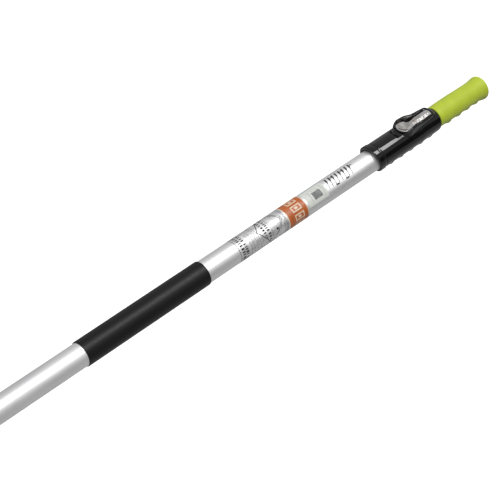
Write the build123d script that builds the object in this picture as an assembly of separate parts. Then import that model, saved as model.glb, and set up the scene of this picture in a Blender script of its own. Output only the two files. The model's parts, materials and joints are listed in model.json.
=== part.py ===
from build123d import *
import math
import os

# Telescoping pole saw. The pole lies along X, butt grip at +X, saw at -X, lever on top (+Z).
# The origin is on the pole's axis, in the middle of the fore grip sleeve. All sizes in mm.

# ---- clearances -------------------------------------------------------------------------
SEAT_GAP = 0.03        # radial gap of a pressed or glued seat
RUN_GAP = 0.06         # radial gap of a hinge pin or a guide that slides
FREE_GAP = 0.3         # gap between moving pieces that never touch
SIDE_GAP = 0.2         # gap beside a flat piece that turns or slides
CUT_OVER = 1.0         # how far a cutting tool runs past the face it opens

# ---- tubes ------------------------------------------------------------------------------
OUTER_OD = 32.0
OUTER_WALL = 1.5
TUBE_GAP = 0.5         # radial gap between the two tubes
INNER_WALL = 1.5
OUTER_FRONT_X = -480.0
OUTER_REAR_X = 460.0
INNER_FRONT_X = -420.0
FLUTE_RADIUS = 2.0     # round groove along the underside of the inner tube
FLUTE_DEPTH = 1.4

# ---- fore grip sleeve and labels --------------------------------------------------------
SLEEVE_LENGTH = 198.0
SLEEVE_THICK = 1.25
LABEL_THICK = 0.1
WRAP_LABEL_X0 = 152.0
WRAP_LABEL_X1 = 277.0
CODE_LABEL_X0 = 278.6
CODE_LABEL_X1 = 316.0
CODE_LABEL_ARC = 91.0      # degrees of the tube that the sticker covers
CODE_LABEL_MIDDLE = 112.0  # degrees from +Y towards +Z

# ---- lock collar ------------------------------------------------------------------------
COLLAR_X0 = 413.3          # where the flange's slanted front crosses the axis
COLLAR_X1 = 541.0
FLANGE_LENGTH = 9.5
FLANGE_LEAN = 14.0         # degrees that the flange leans to the saw at the top
FLANGE_WALL = 4.6          # how far the flange stands out from the outer tube
BARREL_WALL = 3.65
COLLAR_RISE = 1.8          # the collar's outside is centred this far above the axis
RELIEF_LENGTH = 3.5        # shallow groove behind the flange
RELIEF_DEPTH = 0.7
TAPER_X0 = 502.0
END_WALL = 3.6             # how far the rear end stands out from the inner tube
COLLAR_ROUND = 1.6
FLANGE_ROUND = 1.1
COLLAR_RIB_COUNT = 5
COLLAR_RIB_X0 = 440.0
COLLAR_RIB_PITCH = 20.3
RIB_RISE = 2.1             # how far a finger rib stands out under the pole
RIB_OFFSET = 2.1           # how far a rib's own centre lies below the axis
RIB_LENGTH = 9.0
RIB_LEAN = 0.68            # share of a rib's length that slopes up towards the saw
RIB_ROOT = 3.5             # how far a rib's ring reaches inwards
RIB_SINK = 0.3             # how far a rib's feet start below the surface
MOUTH_RING_LENGTH = 4.0
MOUTH_RING_SINK = 0.6      # from the flange's face in to the ring
MOUTH_RING_THICK = 1.3
BUSH_LENGTH = 20.0
COLLAR_SCREW_XS = (435.0, 450.0)
SCREW_RADIUS = 1.5
SCREW_HEAD_RADIUS = 3.0
SCREW_HEAD_HEIGHT = 2.0
SCREW_SOCKET = 1.1
SCREW_SINK = 0.3           # screw head below the barrel's widest line

# ---- lever, pin and brake ---------------------------------------------------------------
PIVOT_X = 528.0
PIN_RADIUS = 1.5
PIN_LENGTH = 19.0
CAM_RADIUS = 2.6
CAM_OFFSET = 0.8
CAM_GAP = 0.25             # between the cam and the brake shoe, lever shut
HUB_RADIUS = 2.85
LEVER_HALF = 7.0           # half width of the lever at its pivot
PAD_X = 478.5
PAD_RADIUS = 11.3          # the round thumb pad at the lever's free end
NECK_X = 507.0
NECK_HALF = 7.0
LEVER_THICK = 2.6
PAD_RISE = 2.9             # top of the pad above the pivot
NECK_RISE = 2.7
DISH_RADIUS = 26.0
DISH_DEPTH = 1.2
LEVER_MARGIN = 0.8         # gap round the lever in its recess
RECESS_DROP = 0.7          # recess floor below the lever
SHOE_THICK = 1.5
SHOE_LENGTH = 16.0
SHOE_LIFT = 0.8
PAD_THICK = 0.8
HOOD_RIM = 3.1             # thickness of the hood's cheeks beside the lever
HOOD_LEAD = 0.0            # how far the hood's nose circle lies ahead of the pad's
HOOD_COVER = 1.2           # hood above the lever pin
HOOD_PEAK_X = 490.0
HOOD_PEAK_RISE = 6.75      # crest of the hood above the lever pin
HOOD_SADDLE_X = 506.0      # behind the crest the hood dips to let the lever show
HOOD_SADDLE_RISE = 2.8
HOOD_ROUND = 1.8
HOOD_BEND = 9.0            # radius of the bends along the hood's crown
NOTCH_RADIUS = 9.5
NOTCH_HALF = 8.5
NOTCH_X = 463.0
NOTCH_DROP = 1.3           # thumb notch below the lever's recess

# ---- butt grip --------------------------------------------------------------------------
GRIP_GAP = 1.0             # between the grip and the collar, pole fully shut
GRIP_LENGTH = 103.0
GRIP_START_WALL = 2.5      # rubber outside the inner tube, at each station
GRIP_SWELL_WALL = 3.0
GRIP_WAIST_WALL = 2.4
GRIP_FLARE_WALL = 4.15
GRIP_RISE = 0.7            # the grip's outside is centred this far above the axis
GRIP_END_ROUND = 2.5
GRIP_END_THICK = 7.0
GRIP_SWELL_AT = 32.0
GRIP_WAIST_BACK = 20.0     # from the butt forward to the waist
GRIP_RIB_COUNT = 4
GRIP_RIB_AT = 21.8
GRIP_RIB_PITCH = 20.0
PLUG_LENGTH = 24.0
FRONT_BUSH_HEAD = 16.0
FRONT_BUSH_STEM = 26.0
RIVET_RADIUS = 1.6
RIVET_LENGTH = 5.0

# ---- saw head ---------------------------------------------------------------------------
SOCKET_REAR_X = -425.0
SOCKET_FRONT_X = -507.0
SOCKET_WALL = 3.5
TONGUE_THICK = 7.0
TONGUE_HALF = 18.0
TONGUE_ROUND = 3.0
HEAD_PIVOT_X = -575.0
STUD_DISTANCE = 40.0
TILT_DEG = 35.0
HEAD_BOLT_RADIUS = 4.0
HEAD_BOLT_HEAD = 7.2
HEAD_BOLT_HEAD_HEIGHT = 5.0
SOCKET_BOLT_XS = (-463.0, -441.0)
SOCKET_BOLT_RADIUS = 2.5
SOCKET_BOLT_HEAD = 4.6
SOCKET_BOLT_HEAD_HEIGHT = 3.2
SPOT_FACE_DEPTH = 1.5
BLADE_THICK = 1.4
PLATE_THICK = 2.4
HOOK_THICK = 3.0
HOOK_WIDTH = 9.0
HOOK_INNER_RADIUS = 15.0
HOOK_CENTRE_Z = 45.0
HOOK_CENTRE_X = -536.0
WASHER_RADIUS = 8.6
WASHER_THICK = 1.4
WING_HUB_RADIUS = 6.6
WING_HUB_LENGTH = 7.5
WING_SPAN = 17.0
WING_THICK = 3.0
WING_HEIGHT = 9.0
WING_ROUND = 1.2

# ---- saw blade --------------------------------------------------------------------------
BLADE_CURVE_RADIUS = 632.0
BLADE_CURVE_X = -622.0     # where the tooth line runs along X
BLADE_TOOTH_Z = -17.0
BLADE_TANG_REACH = 49.0    # from the pivot to the tang's rear edge
BLADE_TANG_HALF_DEG = 27.0
BLADE_TIP_HEIGHT = 12.0
TOOTH_PITCH = 6.4
TOOTH_COUNT = 44
TOOTH_DEPTH = 4.6
TOOTH_LEAN = 0.3           # share of the pitch from a tooth's root to its point
PLATE_REACH = 30.0         # how far the side plate runs forward of the pivot

# ---- sizes that follow from the ones above ----------------------------------------------
OUTER_R = OUTER_OD / 2
OUTER_BORE_R = OUTER_R - OUTER_WALL
INNER_R = OUTER_BORE_R - TUBE_GAP
INNER_BORE_R = INNER_R - INNER_WALL
SLEEVE_R = OUTER_R + SLEEVE_THICK
FLANGE_RADIUS = OUTER_R + FLANGE_WALL
BARREL_RADIUS = OUTER_R + BARREL_WALL
END_RADIUS = INNER_R + END_WALL
MOUTH_RING_RADIUS = OUTER_R + MOUTH_RING_THICK
SCREW_FACE_Y = BARREL_RADIUS - SCREW_SINK
COLLAR_FRONT_X = COLLAR_X0 - FLANGE_RADIUS * math.tan(math.radians(FLANGE_LEAN)) - CUT_OVER
SOCKET_RADIUS = OUTER_R + SOCKET_WALL
FLUTE_Z = -(INNER_R - FLUTE_DEPTH + FLUTE_RADIUS)
SHOE_IN_R = INNER_R + FREE_GAP + PAD_THICK
SHOE_OUT_Z = INNER_R + FREE_GAP + SHOE_THICK
PIVOT_Z = SHOE_OUT_Z + CAM_GAP + CAM_RADIUS + CAM_OFFSET
COLLAR_BORE_R = INNER_R + FREE_GAP + 0.1
BUSH_REAR_X = OUTER_REAR_X + BUSH_LENGTH
LEVER_FLOOR_Z = PIVOT_Z + NECK_RISE - LEVER_THICK - 0.2
RECESS_Z = LEVER_FLOOR_Z - RECESS_DROP
NOTCH_FLOOR_Z = RECESS_Z - NOTCH_DROP
HOOD_PEAK_Z = PIVOT_Z + HOOD_PEAK_RISE
HOOD_SADDLE_Z = PIVOT_Z + HOOD_SADDLE_RISE
SHOE_X0 = PIVOT_X - SHOE_LENGTH / 2 - 1.5
SHOE_X1 = SHOE_X0 + SHOE_LENGTH
SHOE_HALF = LEVER_HALF
GRIP_X0 = COLLAR_X1 + GRIP_GAP
GRIP_X1 = GRIP_X0 + GRIP_LENGTH
GRIP_CREST_X = GRIP_X1 - GRIP_END_ROUND
GRIP_CREST_R = INNER_R + GRIP_FLARE_WALL
INNER_REAR_X = GRIP_X1 - GRIP_END_THICK
TONGUE_Y0 = BLADE_THICK / 2 + SIDE_GAP
TONGUE_Y1 = TONGUE_Y0 + TONGUE_THICK
HOOK_Y1 = TONGUE_Y1 + HOOK_THICK
PLATE_Y = -BLADE_THICK / 2 - PLATE_THICK
WASHER_Y = PLATE_Y - SIDE_GAP - WASHER_THICK
WING_Y = WASHER_Y - SIDE_GAP
HEAD_BOLT_END_Y = WING_Y - WING_HUB_LENGTH - 3.0
STUD_X = HEAD_PIVOT_X + STUD_DISTANCE * math.cos(math.radians(TILT_DEG / 2))
STUD_Z = STUD_DISTANCE * math.sin(math.radians(TILT_DEG / 2))
SLOT_HALF = HEAD_BOLT_RADIUS + FREE_GAP
SOCKET_FLAT_Y = SOCKET_RADIUS - SPOT_FACE_DEPTH


# ---- small helpers ----------------------------------------------------------------------
def x_rod(x0, x1, radius, y=0.0, z=0.0):
    """A round bar along X."""
    return extrude(Plane((x0, y, z), x_dir=(0, 1, 0), z_dir=(1, 0, 0)) * Circle(radius), x1 - x0)


def y_rod(x, z, y0, y1, radius):
    """A round bar along Y, from y0 up to y1."""
    return extrude(Plane((x, y0, z), x_dir=(1, 0, 0), z_dir=(0, 1, 0)) * Circle(radius), y1 - y0)


def x_tube(x0, x1, outer, inner):
    """A round tube along X."""
    return x_rod(x0, x1, outer) - x_rod(x0 - CUT_OVER, x1 + CUT_OVER, inner)


def box(x0, x1, y0, y1, z0, z1):
    """A block between two corners."""
    middle = ((x0 + x1) / 2, (y0 + y1) / 2, (z0 + z1) / 2)
    return Pos(*middle) * Box(x1 - x0, y1 - y0, z1 - z0)


def side_plate(outline, y0, y1):
    """A face drawn as (x, z) and thickened from y0 to y1."""
    drawing = Plane((0, y1, 0), x_dir=(1, 0, 0), z_dir=(0, -1, 0)) * outline
    return extrude(drawing, y1 - y0)


def turned(points):
    """A solid of revolution about the pole's axis, from (x, radius) corners."""
    return revolve(make_face(Polyline(*points, close=True)), Axis.X)


def finger_rib(x, radius, centre_z):
    """A ring that stands out under a round body and fades away at its sides."""
    low = radius - RIB_ROOT
    crest = radius + RIB_RISE - RIB_OFFSET
    long_side = RIB_LENGTH * RIB_LEAN
    short_side = RIB_LENGTH - long_side
    foot = crest - RIB_RISE - RIB_SINK
    section = make_face(Polyline(
        (x - long_side, low), (x - long_side, foot), (x, crest),
        (x + short_side, foot), (x + short_side, low), close=True))
    return Pos(0, 0, centre_z - RIB_OFFSET) * revolve(section, Axis.X)


def flute(radius):
    """The bar that shapes the groove under the inner tube."""
    return x_rod(INNER_FRONT_X - CUT_OVER, INNER_REAR_X + CUT_OVER, radius, z=FLUTE_Z)


# ---- tubes, sleeve and labels -----------------------------------------------------------
def make_outer_tube():
    shape = x_tube(OUTER_FRONT_X, OUTER_REAR_X, OUTER_R, OUTER_BORE_R)
    for x in COLLAR_SCREW_XS:
        shape -= y_rod(x, 0, 0, OUTER_R + CUT_OVER, SCREW_RADIUS)
    for x in SOCKET_BOLT_XS:
        shape -= y_rod(x, 0, -OUTER_R - CUT_OVER, OUTER_R + CUT_OVER, SOCKET_BOLT_RADIUS + SEAT_GAP)
    return shape


def make_inner_tube():
    outside = x_rod(INNER_FRONT_X, INNER_REAR_X, INNER_R) - flute(FLUTE_RADIUS)
    hollow = x_rod(INNER_FRONT_X - CUT_OVER, INNER_REAR_X + CUT_OVER, INNER_BORE_R)
    hollow -= flute(FLUTE_RADIUS + INNER_WALL)
    shape = outside - hollow
    rivet_x = INNER_FRONT_X + FRONT_BUSH_STEM / 2
    hole = extrude(Pos(rivet_x, 0, 0) * Circle(RIVET_RADIUS + SEAT_GAP), INNER_R + CUT_OVER)
    return shape - hole


def make_fore_grip_sleeve():
    return x_tube(-SLEEVE_LENGTH / 2, SLEEVE_LENGTH / 2, SLEEVE_R, OUTER_R)


def make_wrap_label():
    return x_tube(WRAP_LABEL_X0, WRAP_LABEL_X1, OUTER_R + LABEL_THICK, OUTER_R)


def make_code_label():
    section = make_face(Polyline(
        (CODE_LABEL_X0, OUTER_R), (CODE_LABEL_X1, OUTER_R),
        (CODE_LABEL_X1, OUTER_R + LABEL_THICK), (CODE_LABEL_X0, OUTER_R + LABEL_THICK),
        close=True))
    start = CODE_LABEL_MIDDLE - CODE_LABEL_ARC / 2
    return Rot(start, 0, 0) * revolve(section, Axis.X, revolution_arc=CODE_LABEL_ARC)


# ---- lock collar and what it carries ----------------------------------------------------
def lever_plan(margin=0.0):
    """The lever seen from above, widened by a margin, as a face at z = 0."""
    side_margin = FREE_GAP if margin else 0.0
    rear_x = PIVOT_X + HUB_RADIUS + margin
    neck = Pos(NECK_X, 0) * Circle(NECK_HALF + margin)
    bowl = make_hull((Pos(PAD_X, 0) * Circle(PAD_RADIUS + margin) + neck).edges())
    half = LEVER_HALF + side_margin
    stem_half = NECK_HALF + margin
    stem = make_face(Polyline(
        (NECK_X, stem_half), (PIVOT_X - 2 * HUB_RADIUS, half), (rear_x, half),
        (rear_x, -half), (PIVOT_X - 2 * HUB_RADIUS, -half), (NECK_X, -stem_half), close=True))
    return bowl + stem


def hood_body():
    """The raised hood round the lever, before it is hollowed."""
    front_r = PAD_RADIUS + LEVER_MARGIN + HOOD_RIM
    rear_r = LEVER_HALF + FREE_GAP + HOOD_RIM
    rear_x = PIVOT_X + rear_r
    plan = make_hull((Pos(PAD_X - HOOD_LEAD, 0) * Circle(front_r)
                      + Pos(PIVOT_X, 0) * Circle(rear_r)).edges())
    block = extrude(plan, HOOD_PEAK_Z + CUT_OVER)
    pivot_top = PIVOT_Z + PIN_RADIUS + HOOD_COVER
    low = BARREL_RADIUS - 3.0
    front_x = PAD_X - HOOD_LEAD - front_r
    side = make_face(Polyline(
        (front_x - 3, 0), (front_x - 3, low), (HOOD_PEAK_X - 11, HOOD_PEAK_Z),
        (HOOD_PEAK_X + 2, HOOD_PEAK_Z), (HOOD_SADDLE_X, HOOD_SADDLE_Z), (PIVOT_X + 2, pivot_top),
        (rear_x + 3, low), (rear_x + 3, 0), close=True))
    crests = [v for v in side.vertices() if v.Y > low + 1]
    side = fillet(crests, HOOD_BEND)
    hood = block & side_plate(side, -front_r - CUT_OVER, front_r + CUT_OVER)
    rim = [e for e in hood.edges() if e.center().Z > low and abs(e.center().Y) > 0.5]
    return fillet(rim, HOOD_ROUND)


def collar_section(x):
    """Radius of the collar's outside at a place along it, and its centre's height."""
    taper = max(0.0, (x - TAPER_X0) / (COLLAR_X1 - TAPER_X0))
    return BARREL_RADIUS + (END_RADIUS - BARREL_RADIUS) * taper, COLLAR_RISE * (1 - taper)


def leaning(x0, x1):
    """A slab across the pole from x0 to x1 on the axis, slanted like the flange."""
    slab = box(0, (x1 - x0) * math.cos(math.radians(FLANGE_LEAN)), -2 * FLANGE_RADIUS,
               2 * FLANGE_RADIUS, -2 * FLANGE_RADIUS, 2 * FLANGE_RADIUS)
    return Pos(x0, 0, 0) * Rot(0, -FLANGE_LEAN, 0) * slab


def slanted_rod(x0, x1, radius, z=0.0):
    """A round bar along X whose two ends are slanted like the flange."""
    reach = 2 * FLANGE_RADIUS
    return x_rod(x0 - reach, x1 + reach, radius, z=z) & leaning(x0, x1)


def collar_body():
    """Slanted flange, relief groove, barrel and the taper down to the butt grip."""
    flange_x = COLLAR_X0 + FLANGE_LENGTH
    barrel_x = flange_x + RELIEF_LENGTH
    flange = slanted_rod(COLLAR_X0, flange_x, FLANGE_RADIUS, COLLAR_RISE)
    flange = fillet(flange.edges().filter_by(lambda e: e.length > FLANGE_RADIUS), FLANGE_ROUND)
    core = x_rod(COLLAR_X0, TAPER_X0, BARREL_RADIUS - RELIEF_DEPTH, z=COLLAR_RISE)
    core = core & leaning(flange_x - 2 * COLLAR_ROUND, COLLAR_X1)
    barrel = x_rod(COLLAR_X0, TAPER_X0, BARREL_RADIUS, z=COLLAR_RISE) & leaning(barrel_x, COLLAR_X1)
    taper = loft([Plane((TAPER_X0, 0, COLLAR_RISE), x_dir=(0, 1, 0), z_dir=(1, 0, 0))
                  * Circle(BARREL_RADIUS),
                  Plane((COLLAR_X1, 0, 0), x_dir=(0, 1, 0), z_dir=(1, 0, 0)) * Circle(END_RADIUS)])
    taper = fillet(taper.edges().sort_by(Axis.X)[-1], COLLAR_ROUND)
    return flange + core + barrel + taper


def make_lock_collar():
    shape = collar_body() + hood_body()
    for i in range(COLLAR_RIB_COUNT):
        x = COLLAR_RIB_X0 + i * COLLAR_RIB_PITCH
        shape += finger_rib(x, *collar_section(x))
    shape -= x_rod(COLLAR_FRONT_X, BUSH_REAR_X, OUTER_R + SEAT_GAP)
    shape -= slanted_rod(COLLAR_X0 - CUT_OVER, COLLAR_X0 + MOUTH_RING_LENGTH, MOUTH_RING_RADIUS + SEAT_GAP)
    shape -= x_rod(BUSH_REAR_X - CUT_OVER, COLLAR_X1 + CUT_OVER, COLLAR_BORE_R)
    shape -= Pos(0, 0, RECESS_Z) * extrude(lever_plan(LEVER_MARGIN), HOOD_PEAK_Z)
    slot_half = LEVER_HALF + FREE_GAP
    rear_x = PIVOT_X + HUB_RADIUS + LEVER_MARGIN
    shape -= box(PIVOT_X - CAM_RADIUS - CAM_OFFSET - 1.0, rear_x, -slot_half, slot_half, 0, HOOD_PEAK_Z)
    shape -= box(SHOE_X0 - SIDE_GAP, SHOE_X1 + SIDE_GAP, -slot_half, slot_half, 0,
                 SHOE_OUT_Z + SHOE_LIFT + FREE_GAP)
    shape -= y_rod(PIVOT_X, PIVOT_Z, -PIN_LENGTH / 2, PIN_LENGTH / 2, PIN_RADIUS + SEAT_GAP)
    shape -= y_rod(NOTCH_X, NOTCH_FLOOR_Z + NOTCH_RADIUS, -NOTCH_HALF, NOTCH_HALF, NOTCH_RADIUS)
    for x in COLLAR_SCREW_XS:
        shape -= y_rod(x, 0, 0, FLANGE_RADIUS, SCREW_RADIUS + SEAT_GAP)
        seat_y = SCREW_FACE_Y - SCREW_HEAD_HEIGHT
        shape -= y_rod(x, 0, seat_y, FLANGE_RADIUS, SCREW_HEAD_RADIUS + SIDE_GAP)
    return shape


def make_mouth_ring():
    """Soft wiper ring in the slanted mouth of the collar."""
    ring = slanted_rod(COLLAR_X0 + MOUTH_RING_SINK, COLLAR_X0 + MOUTH_RING_LENGTH, MOUTH_RING_RADIUS)
    front = ring.faces().sort_by(Axis.X)[0]
    ring = chamfer(front.edges(), MOUTH_RING_SINK)
    return ring - x_rod(COLLAR_FRONT_X, BUSH_REAR_X, OUTER_R + SEAT_GAP)


def make_guide_bush():
    """Split guide behind the outer tube, with a key that runs in the flute."""
    x0 = OUTER_REAR_X
    shape = x_tube(x0, BUSH_REAR_X, OUTER_R, INNER_R + RUN_GAP)
    key = x_rod(x0, BUSH_REAR_X, FLUTE_RADIUS - FREE_GAP, z=FLUTE_Z)
    key = key & x_rod(x0, BUSH_REAR_X, OUTER_R)
    neck_half = FLUTE_RADIUS - FREE_GAP
    neck = box(x0, BUSH_REAR_X, -neck_half, neck_half, -OUTER_R + 0.5, FLUTE_Z)
    return shape + key + neck


def make_collar_screw(x):
    head_y = SCREW_FACE_Y - SCREW_HEAD_HEIGHT
    shape = y_rod(x, 0, OUTER_BORE_R + 0.1, head_y, SCREW_RADIUS)
    head = y_rod(x, 0, head_y, SCREW_FACE_Y, SCREW_HEAD_RADIUS)
    head = fillet(head.edges().sort_by(Axis.Y)[-1], 0.5)
    socket = extrude(Plane((x, SCREW_FACE_Y - SCREW_SOCKET, 0), z_dir=(0, 1, 0))
                     * RegularPolygon(1.4, 6), SCREW_SOCKET + CUT_OVER)
    return shape + head - socket


def make_lever_pin():
    pin = y_rod(PIVOT_X, PIVOT_Z, -PIN_LENGTH / 2, PIN_LENGTH / 2, PIN_RADIUS)
    return chamfer(pin.edges().filter_by(GeomType.CIRCLE), 0.2)


def make_lock_lever():
    pad_z = PIVOT_Z + PAD_RISE
    neck_z = PIVOT_Z + NECK_RISE
    tip_x = PAD_X - PAD_RADIUS
    top = Spline((tip_x - 1, pad_z + 0.4), (PAD_X, pad_z), (NECK_X, neck_z),
                 (PIVOT_X, PIVOT_Z + HUB_RADIUS), tangents=[(1, -0.02), (1, 0)])
    rear = PIVOT_X + HUB_RADIUS
    side = top + Polyline(top @ 1, (PIVOT_X, PIVOT_Z), (PIVOT_X - HUB_RADIUS, LEVER_FLOOR_Z + 0.1),
                          (PIVOT_X - 2 * HUB_RADIUS, LEVER_FLOOR_Z), (PAD_X, LEVER_FLOOR_Z),
                          (tip_x - 1, pad_z - LEVER_THICK + 0.6), top @ 0)
    plate = side_plate(make_face(side), -PAD_RADIUS - 1, PAD_RADIUS + 1)
    plan = extrude(lever_plan(), PIVOT_Z + PAD_RISE + 10)
    shape = plan & plate
    shape -= Pos(PAD_X, 0, pad_z - DISH_DEPTH + DISH_RADIUS) * Sphere(DISH_RADIUS)
    shape += y_rod(PIVOT_X, PIVOT_Z, -LEVER_HALF, LEVER_HALF, HUB_RADIUS - 0.2)
    shape += y_rod(PIVOT_X, PIVOT_Z - CAM_OFFSET, -LEVER_HALF, LEVER_HALF, CAM_RADIUS)
    shape -= box(rear - 0.05, rear + 5, -LEVER_HALF * 2, LEVER_HALF * 2, 0, HOOD_PEAK_Z + 5)
    return shape - y_rod(PIVOT_X, PIVOT_Z, -LEVER_HALF - 1, LEVER_HALF + 1, PIN_RADIUS + RUN_GAP)


def make_brake_shoe():
    """Hard block between the cam and the pad, with an arched underside."""
    block = box(SHOE_X0, SHOE_X1, -SHOE_HALF, SHOE_HALF, 0, SHOE_OUT_Z)
    return block - x_rod(SHOE_X0 - CUT_OVER, SHOE_X1 + CUT_OVER, SHOE_IN_R)


def make_brake_pad():
    """Rubber facing under the shoe, arched to the inner tube."""
    outside = x_rod(SHOE_X0, SHOE_X1, SHOE_IN_R)
    shape = outside - x_rod(SHOE_X0 - CUT_OVER, SHOE_X1 + CUT_OVER, SHOE_IN_R - PAD_THICK)
    return shape & box(SHOE_X0, SHOE_X1, -SHOE_HALF, SHOE_HALF, 0, SHOE_OUT_Z)


# ---- handle end -------------------------------------------------------------------------
def grip_stations():
    """The grip's outline at its front, swell, waist and flare, as (x, radius)."""
    return [(GRIP_X0, INNER_R + GRIP_START_WALL), (GRIP_X0 + GRIP_SWELL_AT, INNER_R + GRIP_SWELL_WALL),
            (GRIP_X1 - GRIP_WAIST_BACK, INNER_R + GRIP_WAIST_WALL), (GRIP_CREST_X, GRIP_CREST_R)]


def grip_radius_at(x):
    """Radius of the grip between its stations, for the ribs to sit on."""
    stations = grip_stations()
    for (x0, r0), (x1, r1) in zip(stations, stations[1:]):
        if x <= x1:
            return r0 + (r1 - r0) * (x - x0) / (x1 - x0)
    return GRIP_CREST_R


def make_handle_grip():
    side = Spline(*grip_stations(), tangents=[(1, 0.03), (1, 0)])
    corner = JernArc(side @ 1, (1, 0), GRIP_END_ROUND, -90)
    rest = Polyline(corner @ 1, (GRIP_X1, 0), (GRIP_X0, 0), side @ 0)
    shape = Pos(0, 0, GRIP_RISE) * revolve(make_face(side + corner + rest), Axis.X)
    for i in range(GRIP_RIB_COUNT):
        x = GRIP_X0 + GRIP_RIB_AT + i * GRIP_RIB_PITCH
        shape += finger_rib(x, grip_radius_at(x), GRIP_RISE)
    bore = x_rod(GRIP_X0 - CUT_OVER, INNER_REAR_X, INNER_R + SEAT_GAP) - flute(FLUTE_RADIUS - SEAT_GAP)
    return shape - bore


def inner_plug(x0, x1):
    """A bar that fills the inside of the inner tube, flute and all."""
    shape = x_rod(x0, x1, INNER_BORE_R - SEAT_GAP)
    return shape - flute(FLUTE_RADIUS + INNER_WALL + SEAT_GAP)


def make_butt_plug():
    shape = inner_plug(INNER_REAR_X - PLUG_LENGTH, INNER_REAR_X)
    return shape - x_rod(INNER_REAR_X - PLUG_LENGTH - CUT_OVER, INNER_REAR_X - 3, INNER_BORE_R - 4)


def make_front_bush():
    """Slider on the front end of the inner tube, running inside the outer tube."""
    shape = inner_plug(INNER_FRONT_X, INNER_FRONT_X + FRONT_BUSH_STEM)
    shape += x_rod(INNER_FRONT_X - FRONT_BUSH_HEAD, INNER_FRONT_X, OUTER_BORE_R - RUN_GAP)
    shape -= x_rod(INNER_FRONT_X - FRONT_BUSH_HEAD - CUT_OVER, INNER_FRONT_X + FRONT_BUSH_STEM
                   + CUT_OVER, INNER_BORE_R - 5)
    rivet_x = INNER_FRONT_X + FRONT_BUSH_STEM / 2
    hole = extrude(Pos(rivet_x, 0, INNER_R - RIVET_LENGTH) * Circle(RIVET_RADIUS + SEAT_GAP),
                   RIVET_LENGTH + CUT_OVER)
    return shape - hole


def make_bush_rivet():
    rivet_x = INNER_FRONT_X + FRONT_BUSH_STEM / 2
    return extrude(Pos(rivet_x, 0, INNER_R - RIVET_LENGTH) * Circle(RIVET_RADIUS),
                   RIVET_LENGTH - SEAT_GAP)


# ---- saw head ---------------------------------------------------------------------------
def arc_slot(y0, y1):
    """The curved slot that the lock stud runs in as the blade tilts."""
    reach = STUD_DISTANCE + SLOT_HALF
    half = math.radians(TILT_DEG / 2)
    ring = Circle(reach) - Circle(STUD_DISTANCE - SLOT_HALF)
    far = 2 * reach
    wedge = make_face(Polyline((0, 0), (far * math.cos(half), -far * math.sin(half)),
                               (far * math.cos(half), far * math.sin(half)), close=True))
    outline = ring & wedge
    for sign in (-1, 1):
        spot = (STUD_DISTANCE * math.cos(half), sign * STUD_DISTANCE * math.sin(half))
        outline += Pos(*spot) * Circle(SLOT_HALF)
    return side_plate(Pos(HEAD_PIVOT_X, 0) * outline, y0, y1)


def make_head_socket():
    barrel = x_rod(SOCKET_FRONT_X, SOCKET_REAR_X, SOCKET_RADIUS)
    barrel = fillet(barrel.edges().filter_by(GeomType.CIRCLE), 2.0)
    outline = make_hull((Pos(HEAD_PIVOT_X, 0) * Circle(TONGUE_HALF)
                         + Pos(SOCKET_FRONT_X + 14, 0) * Circle(TONGUE_HALF)).edges())
    stud_pad = Pos(STUD_X, STUD_Z) * Circle(WASHER_RADIUS + 2)
    tongue = side_plate(outline + stud_pad, TONGUE_Y0, TONGUE_Y1)
    # a sloping web joins the round socket to the flat tongue
    web = loft([Plane((SOCKET_FRONT_X + 10, 0, 0), x_dir=(0, 1, 0), z_dir=(1, 0, 0))
                * Circle(SOCKET_RADIUS - 1),
                Plane((SOCKET_FRONT_X - 16, (TONGUE_Y0 + TONGUE_Y1) / 2, 0), x_dir=(0, 1, 0),
                      z_dir=(1, 0, 0)) * RectangleRounded(TONGUE_THICK, 2 * TONGUE_HALF - 4, 2.0)])
    web -= box(SOCKET_FRONT_X - 40, SOCKET_FRONT_X, -SOCKET_RADIUS - 1, TONGUE_Y0,
               -SOCKET_RADIUS - 1, SOCKET_RADIUS + 1)
    shape = barrel + tongue + web
    shape -= x_rod(OUTER_FRONT_X, SOCKET_REAR_X + CUT_OVER, OUTER_R + SEAT_GAP)
    for x, z in ((HEAD_PIVOT_X, 0), (STUD_X, STUD_Z)):
        shape -= y_rod(x, z, TONGUE_Y0 - CUT_OVER, TONGUE_Y1 + CUT_OVER, HEAD_BOLT_RADIUS + SEAT_GAP)
    for x in SOCKET_BOLT_XS:
        shape -= y_rod(x, 0, -SOCKET_RADIUS - 1, SOCKET_RADIUS + 1, SOCKET_BOLT_RADIUS + SEAT_GAP)
        for y0, y1 in ((-SOCKET_RADIUS - 1, -SOCKET_FLAT_Y), (SOCKET_FLAT_Y, SOCKET_RADIUS + 1)):
            shape -= y_rod(x, 0, y0, y1, SOCKET_BOLT_HEAD + 1.2)
    return shape


def hex_block(x, z, y0, y1, radius):
    """A hexagon nut or bolt head along Y."""
    return extrude(Plane((x, y0, z), x_dir=(1, 0, 0), z_dir=(0, 1, 0))
                   * RegularPolygon(radius, 6), y1 - y0)


def make_socket_bolt(x):
    shank = y_rod(x, 0, -SOCKET_FLAT_Y - SOCKET_BOLT_HEAD_HEIGHT - 1.0, SOCKET_FLAT_Y,
                  SOCKET_BOLT_RADIUS)
    return shank + hex_block(x, 0, SOCKET_FLAT_Y, SOCKET_FLAT_Y + SOCKET_BOLT_HEAD_HEIGHT,
                             SOCKET_BOLT_HEAD)


def make_socket_nut(x):
    nut = hex_block(x, 0, -SOCKET_FLAT_Y - SOCKET_BOLT_HEAD_HEIGHT, -SOCKET_FLAT_Y, SOCKET_BOLT_HEAD)
    return nut - y_rod(x, 0, -SOCKET_RADIUS * 2, 0, SOCKET_BOLT_RADIUS + SEAT_GAP)


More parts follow.
